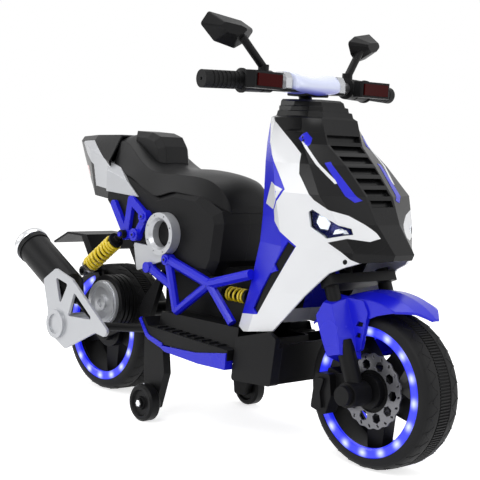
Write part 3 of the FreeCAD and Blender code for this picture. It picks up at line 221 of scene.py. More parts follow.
drift_scale = 14.0
drift = maths(skin, "SUBTRACT", noise(skin, place, drift_scale), 0.5)
shade = maths(skin, "MULTIPLY_ADD", drift, entry.outputs["Tint Drift"], 1.0)
tint = skin.nodes.new("ShaderNodeHueSaturation")
skin.links.new(entry.outputs["Colour"], tint.inputs["Color"])
skin.links.new(shade, tint.inputs["Value"])
skin.links.new(tint.outputs["Color"], leave.inputs["Colour"])
gloss = maths(skin, "MULTIPLY_ADD", drift, entry.outputs["Gloss Drift"], entry.outputs["Gloss"])
skin.links.new(gloss, leave.inputs["Gloss"])
edge = skin.nodes.new("ShaderNodeBevel")
edge.samples = 4
skin.links.new(entry.outputs["Edge Radius"], edge.inputs["Radius"])
grain = skin.nodes.new("ShaderNodeBump")
grain_relief = 0.0004
grain.inputs["Distance"].default_value = grain_relief
skin.links.new(entry.outputs["Grain Depth"], grain.inputs["Strength"])
skin.links.new(noise(skin, place, entry.outputs["Grain Size"], 1.0), grain.inputs["Height"])
skin.links.new(edge.outputs["Normal"], grain.inputs["Normal"])
skin.links.new(grain.outputs["Normal"], leave.inputs["Normal"])
print("group", skin.name, "inputs", len(skin_inputs))

# %% [markdown]
# ## Mixing the finishes
# The bike has some twenty finishes: gloss and satin plastic, paint, rubber, steel, lenses and glass.
# Each could be wired by hand, but then a change to the grain would have to be made in all of them.
# So one function makes a material from the group. What is the same all over a surface, such as metalness
# or a clear coat, is written straight on the shader. What changes over it comes from the group.

# %% Finishes
finishes = {}
gloss_drift_share = 0.4


def moulded(name, colour, gloss, drift=0.08, grain=0.1, size=900.0, edge=0.0012, **plain):
    """Makes one finish: colour, gloss and normal from the group, and plain values on the shader."""
    material, tree, shader = new_finish(name)
    coat = tree.nodes.new("ShaderNodeGroup")
    coat.node_tree = skin
    fill(coat, {
        "Colour": (*colour, 1), "Tint Drift": drift, "Gloss": gloss, "Gloss Drift": gloss * gloss_drift_share,
        "Grain Size": size, "Grain Depth": grain, "Edge Radius": edge})
    for label, socket in (("Colour", "Base Color"), ("Gloss", "Roughness"), ("Normal", "Normal")):
        tree.links.new(coat.outputs[label], shader.inputs[socket])
    fill(shader, {label.replace("_", " "): value for label, value in plain.items()})
    material.diffuse_color = (*colour, 1)
    finishes[name] = material


moulded("white_gloss", (0.80, 0.81, 0.83), 0.22, drift=0.03, grain=0.02, Coat_Weight=0.3, Coat_Roughness=0.06)
moulded("blue_gloss", (0.010, 0.012, 0.62), 0.26, drift=0.06, grain=0.03, Specular_IOR_Level=0.35)
moulded("black_satin", (0.0055, 0.0055, 0.006), 0.42, drift=0.2, grain=0.22, size=1400.0,
        Specular_IOR_Level=0.12)
moulded("black_gloss", (0.005, 0.005, 0.0055), 0.26, drift=0.15, grain=0.06, Specular_IOR_Level=0.16)
moulded("seat_black", (0.0065, 0.0065, 0.007), 0.40, drift=0.15, grain=0.3, size=1100.0, edge=0.003,
        Specular_IOR_Level=0.15)
moulded("silver_paint", (0.47, 0.48, 0.50), 0.34, drift=0.05, grain=0.08, size=2200.0, Metallic=0.45)
moulded("cast_grey", (0.52, 0.53, 0.55), 0.36, drift=0.08, grain=0.1, size=1800.0, Metallic=0.5)
moulded("grey_metal", (0.35, 0.35, 0.36), 0.35, drift=0.1, grain=0.1, Metallic=0.85)
moulded("disc_steel", (0.17, 0.17, 0.18), 0.32, drift=0.1, grain=0.1, Metallic=0.6)
moulded("tyre_rubber", (0.006, 0.006, 0.0065), 0.58, drift=0.25, grain=0.4, size=700.0, edge=0.0008,
        Specular_IOR_Level=0.18)
moulded("grip_rubber", (0.006, 0.006, 0.0065), 0.56, drift=0.2, grain=0.35, size=1600.0,
        Specular_IOR_Level=0.16)
moulded("spring_yellow", (0.80, 0.60, 0.015), 0.28, drift=0.08, grain=0.04, Coat_Weight=0.3)
moulded("red_lens", (0.040, 0.001, 0.001), 0.20, drift=0.2, grain=0.02, Specular_IOR_Level=0.05)
moulded("tail_red", (0.55, 0.012, 0.012), 0.16, drift=0.15, grain=0.02, Coat_Weight=0.5)
moulded("clear_lens", (0.92, 0.94, 0.98), 0.04, drift=0.02, grain=0.0, Transmission_Weight=1.0, IOR=1.12)
moulded("dash_milk", (0.62, 0.66, 0.84), 0.2, drift=0.10, grain=0.02, Coat_Weight=0.3)
moulded("mirror_glass", (0.80, 0.81, 0.83), 0.03, drift=0.02, grain=0.0, Metallic=1.0)
moulded("battery_grey", (0.10, 0.10, 0.11), 0.5, drift=0.1, grain=0.2)
moulded("lamp_bowl_blue", (0.010, 0.014, 0.16), 0.16, drift=0.3, grain=0.05, Metallic=0.35)
moulded("chrome_trim", (0.72, 0.73, 0.75), 0.16, drift=0.04, grain=0.02, Metallic=0.9)
moulded("projector_white", (0.86, 0.90, 1.0), 0.10, drift=0.04, grain=0.0,
        Emission_Color=(0.80, 0.88, 1.0, 1), Emission_Strength=0.75)
print("finishes", len(finishes))

# %% [markdown]
# ## The glowing rings
# Behind each milky blue ring sits a strip of small lamps. From outside they show as bright spots with blue
# between. The spots could be separate small meshes, but they only colour the ring, so a pattern is enough.
# It follows the angle around the axle: the material works out that angle from object coordinates
# and turns it into evenly spaced peaks with a cosine.

# %% Light rings
led_count = 16
led_sharpness = 3.0
led_half_width = 0.0095
ring_middle = 0.108


def object_place(tree):
    """Adds object coordinates and returns their X, Y and Z sockets."""
    split = tree.nodes.new("ShaderNodeSeparateXYZ")
    tree.links.new(tree.nodes.new("ShaderNodeTexCoord").outputs["Object"], split.inputs["Vector"])
    return split.outputs


def colour_mix(tree, share):
    """Adds a mix of two colours and returns both colour sockets and the mixed colour."""
    blend = tree.nodes.new("ShaderNodeMix")
    blend.data_type = "RGBA"
    tree.links.new(share, blend.inputs["Factor"])
    first, second = [socket for socket in blend.inputs if socket.type == "RGBA"]
    mixed = next(socket for socket in blend.outputs if socket.type == "RGBA")
    return first, second, mixed


def glow_ring(name, axle):
    """Makes a blue glowing finish with bright spots around one axle."""
    material, tree, shader = new_finish(name)
    where = object_place(tree)
    ahead = maths(tree, "SUBTRACT", where["X"], axle.x)
    above = maths(tree, "SUBTRACT", where["Z"], axle.z)
    angle = maths(tree, "MULTIPLY", maths(tree, "ARCTAN2", above, ahead), led_count)
    peak = maths(tree, "MULTIPLY_ADD", maths(tree, "COSINE", angle), 0.5, 0.5)
    spot = maths(tree, "POWER", peak, led_sharpness)
    squares = maths(tree, "MULTIPLY_ADD", ahead, ahead, maths(tree, "MULTIPLY", above, above))
    radius = maths(tree, "SQRT", squares)
    off_middle = maths(tree, "ABSOLUTE", maths(tree, "SUBTRACT", radius, ring_middle))
    across = maths(tree, "SUBTRACT", 1.0, maths(tree, "DIVIDE", off_middle, led_half_width))
    spot = maths(tree, "MULTIPLY", spot, maths(tree, "MAXIMUM", across, 0.0))
    between, bright, mixed = colour_mix(tree, spot)
    between.default_value = (0.012, 0.018, 0.80, 1)
    bright.default_value = (0.85, 0.95, 1.0, 1)
    tree.links.new(mixed, shader.inputs["Emission Color"])
    fill(shader, {"Emission Strength": 0.95, "Base Color": (0.02, 0.03, 0.35, 1), "Roughness": 0.25})
    finishes[name] = material


front_axle = Vector((0.407, 0.0, 0.140))
rear_axle = Vector((-0.373, 0.0, 0.140))
glow_ring("front_glow", front_axle)
glow_ring("rear_glow", rear_axle)
print("spots on each ring", led_count)

# %% [markdown]
# ## Painting the solids
# Each solid of the CAD model is one moulding in one colour. Finishes could be set face by face,
# but one finish for each node is enough here, and a list by finish is easy to read and to check.

# %% Which finish goes where
painted = {
    "white_gloss": ["side_panels"],
    "blue_gloss": ["leg_shields", "front_fender", "trellis_frames", "rear_links", "floor_trims"],
    "black_gloss": ["nose_cap", "nose_shield", "tail_deck", "tail_lower"],
    "black_satin": [
        "inner_panel", "chassis_half_right", "chassis_half_left", "footboards", "belly_fairing", "fork_legs",
        "steering_yoke", "front_axle", "brake_caliper", "front_rim", "rear_rim", "switch_housings",
        "lever_guards", "mirrors", "swingarm", "drive_gearbox", "muffler", "mudguard", "shock_dampers",
        "stabiliser_legs", "stabiliser_wheel_left", "stabiliser_wheel_right"],
    "seat_black": ["seat", "seat_pad"],
    "silver_paint": ["tail_panels", "intake_trims", "exhaust_bracket", "bar_clamps", "start_button"],
    "cast_grey": ["engine_cover"],
    "grey_metal": ["brake_disc", "handlebar", "steering_head", "rear_axle", "shock_rods"],
    "tyre_rubber": ["front_tyre", "rear_tyre"],
    "grip_rubber": ["throttle_grip", "grip_left"],
    "spring_yellow": ["shock_springs", "front_springs"],
    "red_lens": ["reflectors"],
    "tail_red": ["tail_lamp"],
    "clear_lens": ["headlamps"],
    "dash_milk": ["dash_cover"],
    "mirror_glass": ["mirror_glasses"],
    "battery_grey": ["battery"],
    "front_glow": ["front_light_rings"],
    "rear_glow": ["rear_light_rings"],
}
for finish, names in painted.items():
    for name in names:
        mesh = nodes[name].data
        mesh.materials.clear()
        mesh.materials.append(finishes[finish])
bare = sorted(set(nodes) - {n for names in painted.values() for n in names})
print("painted", sum(len(names) for names in painted.values()), "bare", bare)

# %% [markdown]
# ## Settling a piece
# A new piece is only useful if it moves with the bike. Each one is linked to the scene and rides on one of
# the
# CAD bodies: it is parented to an empty named after that body, and two helpers do this for all pieces.
# A piece that stands for a solid hides that solid, which stays in the model for collision.

# %% Helpers for new pieces
def made_mesh(name, shape, finish, smooth=True):
    """Turns a bmesh into a mesh whose faces point outwards, with one finish."""
    bmesh.ops.remove_doubles(shape, verts=shape.verts, dist=1e-6)
    bmesh.ops.recalc_face_normals(shape, faces=shape.faces)
    for face in shape.faces:
        face.smooth = smooth
    mesh = bpy.data.meshes.new(name)
    shape.to_mesh(mesh)
    shape.free()
    mesh.materials.append(finishes[finish])
    return mesh


def settle(mesh, body, slot, *stands_for):
    """Links a finished mesh as a piece that rides on a body and may stand for some solids."""
    piece = placed(mesh.name, mesh)
    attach(piece, body)
    if stands_for:
        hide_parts(*stands_for)
    print(piece.name, "rides on", body, "with", len(mesh.polygons), "faces")
    return piece


# %% [markdown]
# ## Trees that repeat a shape
# The tread of a tyre is one rib repeated all the way round, and a coil spring is one wire on a spiral.
# An Array modifier or a loop over points could make them. Geometry Nodes say such rules once:
# a tree gets named sizes, and each use of it gives them values.
# The result is turned into a plain mesh, because the finished model keeps no node trees.

# %% Building and running a tree
def new_tree(name, sizes):
    """Starts a tree with named inputs and returns it with its inputs and its last socket."""
    tree = bpy.data.node_groups.new(name, "GeometryNodeTree")
    for label, kind in sizes.items():
        tree.interface.new_socket(name=label, in_out="INPUT", socket_type="NodeSocket" + kind)
    tree.interface.new_socket(name="Geometry", in_out="OUTPUT", socket_type="NodeSocketGeometry")
    return tree, tree.nodes.new("NodeGroupInput").outputs, tree.nodes.new("NodeGroupOutput").inputs[0]


def step(tree, kind, values, **settings):
    """Adds one node, joins or fills the named sockets, and returns its first output."""
    node = tree.nodes.new(kind)
    for setting, value in settings.items():
        setattr(node, setting, value)
    for label, value in values.items():
        link_value(tree, value, node.inputs[label])
    return node.outputs[0]


def grown(tree, sizes, start=None):
    """Runs a tree with the given sizes, on a mesh if it starts from one, and returns a plain mesh."""
    start = start or bpy.data.meshes.new(tree.name)
    host = placed(tree.name, start)
    modifier = host.modifiers.new(tree.name, "NODES")
    modifier.node_group = tree
    for item in tree.interface.items_tree:
        if item.in_out == "INPUT" and item.name in sizes:
            modifier[item.identifier] = sizes[item.name]
    graph = bpy.context.evaluated_depsgraph_get()
    mesh = bpy.data.meshes.new_from_object(host.evaluated_get(graph))
    bpy.data.objects.remove(host)
    bpy.data.meshes.remove(start)
    return mesh


def joined(tree, *shapes):
    """Joins several shapes of a tree into one."""
    node = tree.nodes.new("GeometryNodeJoinGeometry")
    for shape in shapes:
        tree.links.new(shape, node.inputs[0])
    return node.outputs[0]


def end_tree(tree, shape, finish, done):
    """Ends a tree: makes its copies real, sets their finish and joins them to the output."""
    real = step(tree, "GeometryNodeRealizeInstances", {"Geometry": shape})
    real = step(tree, "GeometryNodeSetMaterial", {"Geometry": real, "Material": finish})
    tree.links.new(real, done)
    print("tree", tree.name, "nodes", len(tree.nodes))


# %% [markdown]
# ## The tread
# Each tyre has a band in the middle with fine ribs across it, sunk between two smooth shoulders,
# and fine zigzag lines on the shoulders. A bump texture could fake them, but the ribs show on the outline.
# One tree makes any such ring: a rib with sloping flanks is drawn as a trapezium pulled along a short line,
# and copies of it are set round the axle.
# Lean turns a rib on the tread, and Tilt lays it on the slope of the shoulder.

# %% The tree for a ring of ribs
ribs, rib, ribs_done = new_tree("ring_of_ribs", {
    "Count": "Int", "Radius": "Float", "Length": "Float", "Width": "Float", "Height": "Float",
    "Lean": "Float", "Tilt": "Float", "Offset": "Float", "Phase": "Float", "Centre": "Vector",
    "Finish": "Material"})
rib_top_share = 0.6
half_length = maths(ribs, "MULTIPLY", rib["Length"], 0.5)
spine = step(ribs, "GeometryNodeCurvePrimitiveLine", {
    "Start": step(ribs, "ShaderNodeCombineXYZ", {"Z": maths(ribs, "MULTIPLY", half_length, -1.0)}),
    "End": step(ribs, "ShaderNodeCombineXYZ", {"Z": half_length})})
flanks = step(ribs, "GeometryNodeCurvePrimitiveQuadrilateral", {
    "Bottom Width": rib["Width"], "Top Width": maths(ribs, "MULTIPLY", rib["Width"], rib_top_share),
    "Height": rib["Height"], "Offset": 0.0}, mode="TRAPEZOID")
bar = step(ribs, "GeometryNodeCurveToMesh", {"Curve": spine, "Profile Curve": flanks, "Fill Caps": True})
stand_up = Matrix(((0, 1, 0), (0, 0, 1), (1, 0, 0))).to_euler()
bar = step(ribs, "GeometryNodeTransform", {"Geometry": bar, "Rotation": stand_up})
slant = step(ribs, "ShaderNodeCombineXYZ", {"X": rib["Lean"], "Z": rib["Tilt"]})
bar = step(ribs, "GeometryNodeTransform", {"Geometry": bar, "Rotation": slant})
turned_by = maths(ribs, "ADD", step(ribs, "GeometryNodeInputIndex", {}), rib["Phase"])
angle = maths(ribs, "DIVIDE", maths(ribs, "MULTIPLY", turned_by, math.tau), rib["Count"])
ring_place = step(ribs, "ShaderNodeCombineXYZ", {
    "X": maths(ribs, "MULTIPLY", maths(ribs, "COSINE", angle), rib["Radius"]), "Y": rib["Offset"],
    "Z": maths(ribs, "MULTIPLY", maths(ribs, "SINE", angle), rib["Radius"])})
ring_place = step(ribs, "ShaderNodeVectorMath", {0: ring_place, 1: rib["Centre"]}, operation="ADD")
dots = step(ribs, "GeometryNodePoints", {"Count": rib["Count"], "Position": ring_place})
spin = step(ribs, "ShaderNodeCombineXYZ", {"Y": maths(ribs, "MULTIPLY", angle, -1.0)})
copies = step(ribs, "GeometryNodeInstanceOnPoints", {"Points": dots, "Instance": bar, "Rotation": spin})
end_tree(ribs, copies, rib["Finish"], ribs_done)

# %% [markdown]
# ## The tyres
# A tyre is a turned shape. A Screw modifier could turn it, but away from the origin it needs a helper object
# for its axis. So the half profile is written as points of side distance and radius, mirrored, and turned
# about the axle in a few lines. The ribs come from the tree and end just inside the wheel's radius.

# %% Tyres with tread
tyre_half = [
    (46, 116.5), (46, 121), (45.6, 125.5), (44.3, 129.5), (41.8, 133), (38, 135.6), (33, 137.4), (27, 138.5),
    (20, 139.2), (15.5, 139.5), (14.5, 137.3), (12.8, 136.8), (6, 137)]
tyre_profile = tyre_half + [(-y, r) for y, r in reversed(tyre_half)]
tread_rings = [
    # count, radius, length, width, height, lean, tilt, offset, phase
    (156, 138.2, 25.4, 3.4, 2.8, 0.0, 0.0, 0.0, 0.0),
    (30, 138.6, 17.0, 1.4, 1.1, 0.75, 0.11, 26.5, 0.0),
    (30, 138.6, 17.0, 1.4, 1.1, -0.75, 0.11, 26.5, 0.5),
    (30, 138.6, 17.0, 1.4, 1.1, -0.75, -0.11, -26.5, 0.0),
    (30, 138.6, 17.0, 1.4, 1.1, 0.75, -0.11, -26.5, 0.5),
    (30, 136.1, 9.0, 1.3, 1.1, -0.75, 0.37, 37.0, 0.25),
    (30, 136.1, 9.0, 1.3, 1.1, 0.75, -0.37, -37.0, 0.25)]
tread_labels = ("Radius", "Length", "Width", "Height")


def bridge(shape, rings):
    """Fills the faces between each ring of corners and the next."""
    for one, two in zip(rings, rings[1:]):
        for k in range(len(one)):
            shape.faces.new((one[k - 1], one[k], two[k], two[k - 1]))


def turned(shape, profile, centre, axis=Vector((0, 1, 0)), steps=120):
    """Turns a closed profile of points along and away from an axis, in millimetres, about that axis."""
    lay = axis.to_track_quat("Y", "Z")
    rings = []
    for k in range(steps):
        ahead = math.cos(math.tau * k / steps) / 1000
        above = math.sin(math.tau * k / steps) / 1000
        spokes = [lay @ Vector((r * ahead, y / 1000, r * above)) for y, r in profile]
        rings.append([shape.verts.new(centre + spoke) for spoke in spokes])
    bridge(shape, rings + rings[:1])


def treaded_tyre(name, axle):
    """Makes one tyre: its turned body and all rings of ribs in one mesh."""
    shape = bmesh.new()
    turned(shape, tyre_profile, axle)
    for count, *sizes, lean, tilt, offset, phase in tread_rings:
        values = {label: size / 1000 for label, size in zip(tread_labels, sizes)}
        values.update({"Count": count, "Lean": lean, "Tilt": tilt, "Offset": offset / 1000, "Phase": phase})
        values.update({"Centre": axle, "Finish": finishes["tyre_rubber"]})
        shape.from_mesh(grown(ribs, values))
    return made_mesh(name, shape, "tyre_rubber", smooth=False)


settle(treaded_tyre("front_tyre_tread", front_axle), "front_wheel", "tyre", "front_tyre")
settle(treaded_tyre("rear_tyre_tread", rear_axle), "rear_wheel", "tyre", "rear_tyre")

# %% [markdown]
# ## Coil springs
# A compression spring is a round wire on a spiral whose turns close up towards both ends, where it is
# seated. A Screw modifier winds a coil too, but with the same pitch all along.
# The tree draws the spiral, moves its points along the axis so that the pitch is small at the ends,
# sweeps a circle along it, and sets it in place. The rear springs ride on the dampers.

# %% The tree for a spring
springs, wire, spring_done = new_tree("wound_spring", {
    "Turns": "Float", "Radius": "Float", "Wire": "Float", "Length": "Float", "Closing": "Float",
    "Foot": "Vector", "Turn": "Vector", "Finish": "Material"})
points_per_turn = 28
points_round_wire = 12
spiral = step(springs, "GeometryNodeCurveSpiral", {
    "Resolution": points_per_turn, "Rotations": wire["Turns"], "Start Radius": wire["Radius"],
    "End Radius": wire["Radius"], "Height": wire["Length"]})
spiral_point = step(springs, "GeometryNodeInputPosition", {})
height = step(springs, "ShaderNodeSeparateXYZ", {"Vector": spiral_point}).node.outputs["Z"]
phase = maths(springs, "DIVIDE", maths(springs, "MULTIPLY", height, math.tau), wire["Length"])
reach = maths(springs, "DIVIDE", maths(springs, "MULTIPLY", wire["Length"], wire["Closing"]), -math.tau)
slide = maths(springs, "MULTIPLY", maths(springs, "SINE", phase), reach)
slide = step(springs, "ShaderNodeCombineXYZ", {"Z": slide})
spiral = step(springs, "GeometryNodeSetPosition", {"Geometry": spiral, "Offset": slide})
section = step(springs, "GeometryNodeCurvePrimitiveCircle", {
    "Resolution": points_round_wire, "Radius": maths(springs, "MULTIPLY", wire["Wire"], 0.5)})
coil = step(springs, "GeometryNodeCurveToMesh", {
    "Curve": spiral, "Profile Curve": section, "Fill Caps": True})
coil = step(springs, "GeometryNodeTransform", {
    "Geometry": coil, "Translation": wire["Foot"], "Rotation": wire["Turn"]})
end_tree(springs, coil, wire["Finish"], spring_done)

# %% Springs in their seats
shock_eye = Vector((-0.240, 0.0, 0.360))
shock_foot = Vector((-0.372, 0.0, 0.268))
shock_axis = (shock_foot - shock_eye).normalized()
shock_from = 0.03315
shock_to = 0.13075
shock_side = 0.100


def wound_pair(name, start, axis, side, length, turns, radius, wire_size, closing):
    """Winds the right and left springs of a pair and returns them as one mesh."""
    shape = bmesh.new()
    for hand in (-1, 1):
        shape.from_mesh(grown(springs, {
            "Turns": turns, "Radius": radius, "Wire": wire_size, "Length": length, "Closing": closing,
            "Foot": start + Vector((0, hand * side, 0)), "Turn": axis.to_track_quat("Z", "Y").to_euler(),
            "Finish": finishes["spring_yellow"]}))
    return made_mesh(name, shape, "spring_yellow")


shock_start = shock_eye + shock_axis * shock_from
shock_length = shock_to - shock_from
rear_coils = wound_pair(
    "rear_coils", shock_start, shock_axis, shock_side, shock_length,
    turns=9.0, radius=0.0150, wire_size=0.0068, closing=0.28)
rear_coils = settle(rear_coils, "dampers", "spring_yellow", "shock_springs")
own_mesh(rear_coils)
front_start = Vector((0.06335, 0.0, 0.272))
front_coils = wound_pair(
    "front_coils", front_start, Vector((1, 0, 0)), side=0.066, length=0.0473,
    turns=5.0, radius=0.012, wire_size=0.0045, closing=0.45)
settle(front_coils, "chassis", "spring_yellow", "front_springs")

# %% [markdown]
# ## Laying thin plates on a curved panel
# The body carries flat coloured plates and stripes, and each follows the panel under it.
# A Shrinkwrap modifier could press a plane onto the panel, but its points slide, and the outline with them.
# So a small grid is cut to the plate's outline in side view, and level rays carry its points onto the panel.
# A copy of the grid lies just above the panel and another just below, and they are joined at the rim.

# %% Rays and plates
def surface_of(*names):
    """Collects the triangles of some solids into one tree for casting rays."""
    places, faces = [], []
    for name in names:
        mesh = nodes[name].data
        first = len(places)
        places += [vertex.co.copy() for vertex in mesh.vertices]
        faces += [[first + k for k in polygon.vertices] for polygon in mesh.polygons]
    return BVHTree.FromPolygons(places, faces)


ray_start = 0.4


def touch(surface, x, z, hand):
    """Finds where a level ray from the bike's right (-1) or left (1) meets a surface."""
    place, normal = surface.ray_cast(Vector((x, hand * ray_start, z)), Vector((0, -hand, 0)))[:2]
    return place, normal if normal.y * hand > 0 else -normal


def cut_off(shape, place, away):
    """Cuts a bmesh with a plane and removes what lies beyond it."""
    every = shape.verts[:] + shape.edges[:] + shape.faces[:]
    bmesh.ops.bisect_plane(shape, geom=every, plane_co=place, plane_no=away, clear_outer=True)


def pour(shape, part):
    """Moves one bmesh into another."""
    carrier = bpy.data.meshes.new("carrier")
    part.to_mesh(carrier)
    part.free()
    shape.from_mesh(carrier)
    bpy.data.meshes.remove(carrier)


def lay_plate(shape, surface, outline, hand, lift=0.0006, sink=0.0006, cell=0.005):
    """Adds one plate with a convex outline of (x, z) points in millimetres to a bmesh."""
    outline = [Vector((x, 0, z)) / 1000 for x, z in outline]
    middle = sum(outline, Vector()) / len(outline)
    low = Vector((min(p.x for p in outline), 0, min(p.z for p in outline)))
    high = Vector((max(p.x for p in outline), 0, max(p.z for p in outline)))
    span = high - low
    wide, tall = [max(2, math.ceil(size / cell)) for size in (span.x, span.z)]
    plate = bmesh.new()
    rows = [[plate.verts.new((low.x + span.x * i / wide, 0, low.z + span.z * j / tall))
             for i in range(wide + 1)] for j in range(tall + 1)]
    for lower, upper in zip(rows, rows[1:]):
        for i in range(wide):
            plate.faces.new((lower[i], lower[i + 1], upper[i + 1], upper[i]))
    for one, two in zip(outline, outline[1:] + outline[:1]):
        away = (two - one).cross(Vector((0, 1, 0)))
        cut_off(plate, one, away if away.dot(one - middle) > 0 else -away)
    raised = bmesh.ops.extrude_face_region(plate, geom=plate.faces[:])["geom"]
    raised = {part for part in raised if isinstance(part, bmesh.types.BMVert)}
    for vertex in plate.verts:
        place, normal = touch(surface, vertex.co.x, vertex.co.z, hand)
        vertex.co = place + normal * (lift if vertex in raised else -sink)
    pour(shape, plate)


def plate_pair(name, surface, outline, finish, **sizes):
    """Lays the same plate on the right and the left and returns both as one mesh."""
    shape = bmesh.new()
    for hand in (-1, 1):
        lay_plate(shape, surface, outline, hand, **sizes)
    return made_mesh(name, shape, finish, smooth=False)


# %% Plates and stripes on the nose
column_surface = surface_of("leg_shields")
nose_surface = surface_of("nose_shield", "nose_cap", "side_panels")
nose_trim = [
    ("column_plates", column_surface, [(206, 496), (246, 485), (214, 447), (176, 455)], "white"),
    ("nose_stripes", nose_surface, [(305, 535), (308, 537), (372, 473), (368, 469)], "blue"),
    ("nose_lines", nose_surface, [(258, 570), (259.5, 571), (338, 501.5), (337, 499.5)], "white"),
    ("nose_patches", nose_surface, [(249, 576), (256, 588), (266, 577), (270, 562)], "blue"),
]
for name, surface, outline, colour in nose_trim:
    settle(plate_pair(name, surface, outline, colour + "_gloss"), "chassis", colour + "_plastic")

# %% [markdown]
# ## Headlamps
# Behind each clear lens lies a dark blue bowl with a six-sided projector that glows, and a bright trim runs
# along the lens. The bowl could be drawn anew, but a copy of the lens already has its outline. It is merged,
# drawn in behind the lens and made a little larger, so that nothing else of the inside shows.
# The projector is a short stepped tower with six sides and a dome.

# %% Lamp bowls
def middle_of(name):
    """Finds the middle of a solid's box."""
    low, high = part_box(name)
    return (Vector(low) + Vector(high)) / 2


def copy_of(name):
    """Copies a solid's mesh into a bmesh and merges its split corners."""
    shape = bmesh.new()
    shape.from_mesh(nodes[name].data)
    bmesh.ops.remove_doubles(shape, verts=shape.verts, dist=1e-5)
    return shape


lamp_surface = surface_of("headlamps")
lamp_middle = middle_of("headlamps")
bowl_spread = 1.06
bowl_back = 0.005
bowl_inset = 0.016
bowl_shape = copy_of("headlamps")
for vertex in bowl_shape.verts:
    hand = 1 if vertex.co.y > 0 else -1
    vertex.co.x = lamp_middle.x + (vertex.co.x - lamp_middle.x) * bowl_spread - bowl_back
    vertex.co.z = lamp_middle.z + (vertex.co.z - lamp_middle.z) * bowl_spread
    vertex.co.y -= hand * bowl_inset
settle(made_mesh("lamp_bowls", bowl_shape, "lamp_bowl_blue", smooth=False), "chassis", "black_gloss")


# %% Projectors and trim
def six_sided(shape, place, facing, steps):
    """Adds a stepped six-sided tower with a closed top, from pairs of radius and height in millimetres."""
    turn = facing.to_track_quat("Z", "Y")
    corners = [Vector((math.cos(math.tau * k / 6), math.sin(math.tau * k / 6), 0)) for k in range(6)]
    rings = []
    for radius, rise in steps:
        spots = [corner * radius + Vector((0, 0, rise)) for corner in corners]
        rings.append([shape.verts.new(place + turn @ spot / 1000) for spot in spots])
    bridge(shape, rings)
    shape.faces.new(rings[-1])
    shape.faces.new(rings[0][::-1])


projector_x = 0.331
projector_z = 0.430
bezel_steps = [(14, -16), (16, -14), (16, -9.5), (13.5, -8.5)]
projector_steps = [(12.5, -12), (12.5, -7.5), (11, -6), (7.5, -5), (3, -4.6)]
projector_shape = bmesh.new()
bezel_shape = bmesh.new()
for hand in (-1, 1):
    face, facing = touch(lamp_surface, projector_x, projector_z, hand)
    six_sided(bezel_shape, face, facing, bezel_steps)
    six_sided(projector_shape, face, facing, projector_steps)
settle(made_mesh("lamp_bezels", bezel_shape, "chrome_trim", smooth=False), "chassis", "silver_plastic")
settle(made_mesh("lamp_projectors", projector_shape, "projector_white", smooth=False), "chassis", "lamp_lens")
wedge = [(350, 411), (381, 417), (377, 424), (356, 420)]
wedges = plate_pair("lamp_wedges", lamp_surface, wedge, "chrome_trim", lift=-0.006, sink=0.009)
settle(wedges, "chassis", "silver_plastic")

# %% [markdown]
# ## The console
# Above the nose stands a narrow console in three terraces, with a round opening for the steering stem.
# It could be sculpted, but level rings of corners keep the terraces crisp and the shape easy to change.
# The lower rim of the cap is right as it is, so a copy of it is cut off level.
# From there a roof runs in to the console, and rings of eight corners rise and step in, up to the opening.

# %% Console in terraces
roof_z = 613
cap_shape = copy_of("nose_cap")
cut_off(cap_shape, (0, 0, roof_z / 1000), (0, 0, 1))
console_rings = [
    # height, then along and aside for the front, side, back and rear corners
    (roof_z, (266, 47.5), (238, 70.5), (177, 77), (153, 63.5)),
    (roof_z + 4, (263, 40), (236, 53), (184, 57), (152, 50)),
    (626, (261, 38), (234, 50), (186, 54), (152, 47)),
    (627, (256, 35), (231, 46), (187, 50), (152, 44)),
    (635, (254, 34), (229, 44), (188, 48), (151, 43)),
    (636, (249, 31), (226, 40), (189, 44), (151, 40)),
    (644, (246, 30), (224, 38), (190, 42), (151, 39)),
    (648, (240, 27), (220, 34), (191, 38), (152, 36)),
]
stem_hole = Vector((177, 0, 648))
stem_hole_radius = 19.0
stem_hole_depth = 8


def corner_ring(shape, height, corners):
    """Adds the eight corners of one level ring, right side first."""
    right = [Vector((x, -y, height)) for x, y in corners]
    left = [Vector((x, y, height)) for x, y in reversed(corners)]
    return [shape.verts.new(corner / 1000) for corner in right + left]


console_shape = bmesh.new()
rings = [corner_ring(console_shape, height, corners) for height, *corners in console_rings]
top_ring = rings[-1]
for drop in (0, stem_hole_depth):
    rim = []
    for vertex in top_ring:
        spoke = vertex.co * 1000 - stem_hole
        spoke.z = 0
        spoke = spoke.normalized() * stem_hole_radius - Vector((0, 0, drop))
        rim.append(console_shape.verts.new((stem_hole + spoke) / 1000))
    rings.append(rim)
bridge(console_shape, rings)
bmesh.ops.recalc_face_normals(console_shape, faces=console_shape.faces)
pour(cap_shape, console_shape)
console = bpy.data.meshes.new("nose_console")
cap_shape.to_mesh(console)
cap_shape.free()
console.materials.append(finishes["black_gloss"])
settle(console, "chassis", "black_gloss", "nose_cap")

# %% [markdown]
# ## The dash
# Between the bar clamps lies a milky saddle: it dips in the middle, and a lamp inside lights its lower edge
# blue. It could be bent out of a rounded box, but then its dip and its keel can't be set one by one.
# So one rounded section is repeated across the bike, its upper and lower parts both lowered towards the
# middle and its ends drawn in, and a Subdivision Surface rounds it.
# The blue comes from the height in object coordinates.

# %% Saddle
saddle_section = [
    (141, 663), (172, 661.5), (206, 661.5), (214, 667), (215.5, 677), (208, 691), (190, 700), (166, 700),
    (145, 691), (136, 677)]
saddle_middle = Vector((176, 0, 680))
saddle_rise = 20
saddle_depth = 18.5
saddle_dip = 9.0
saddle_keel = 8.5
saddle_half = 59.0
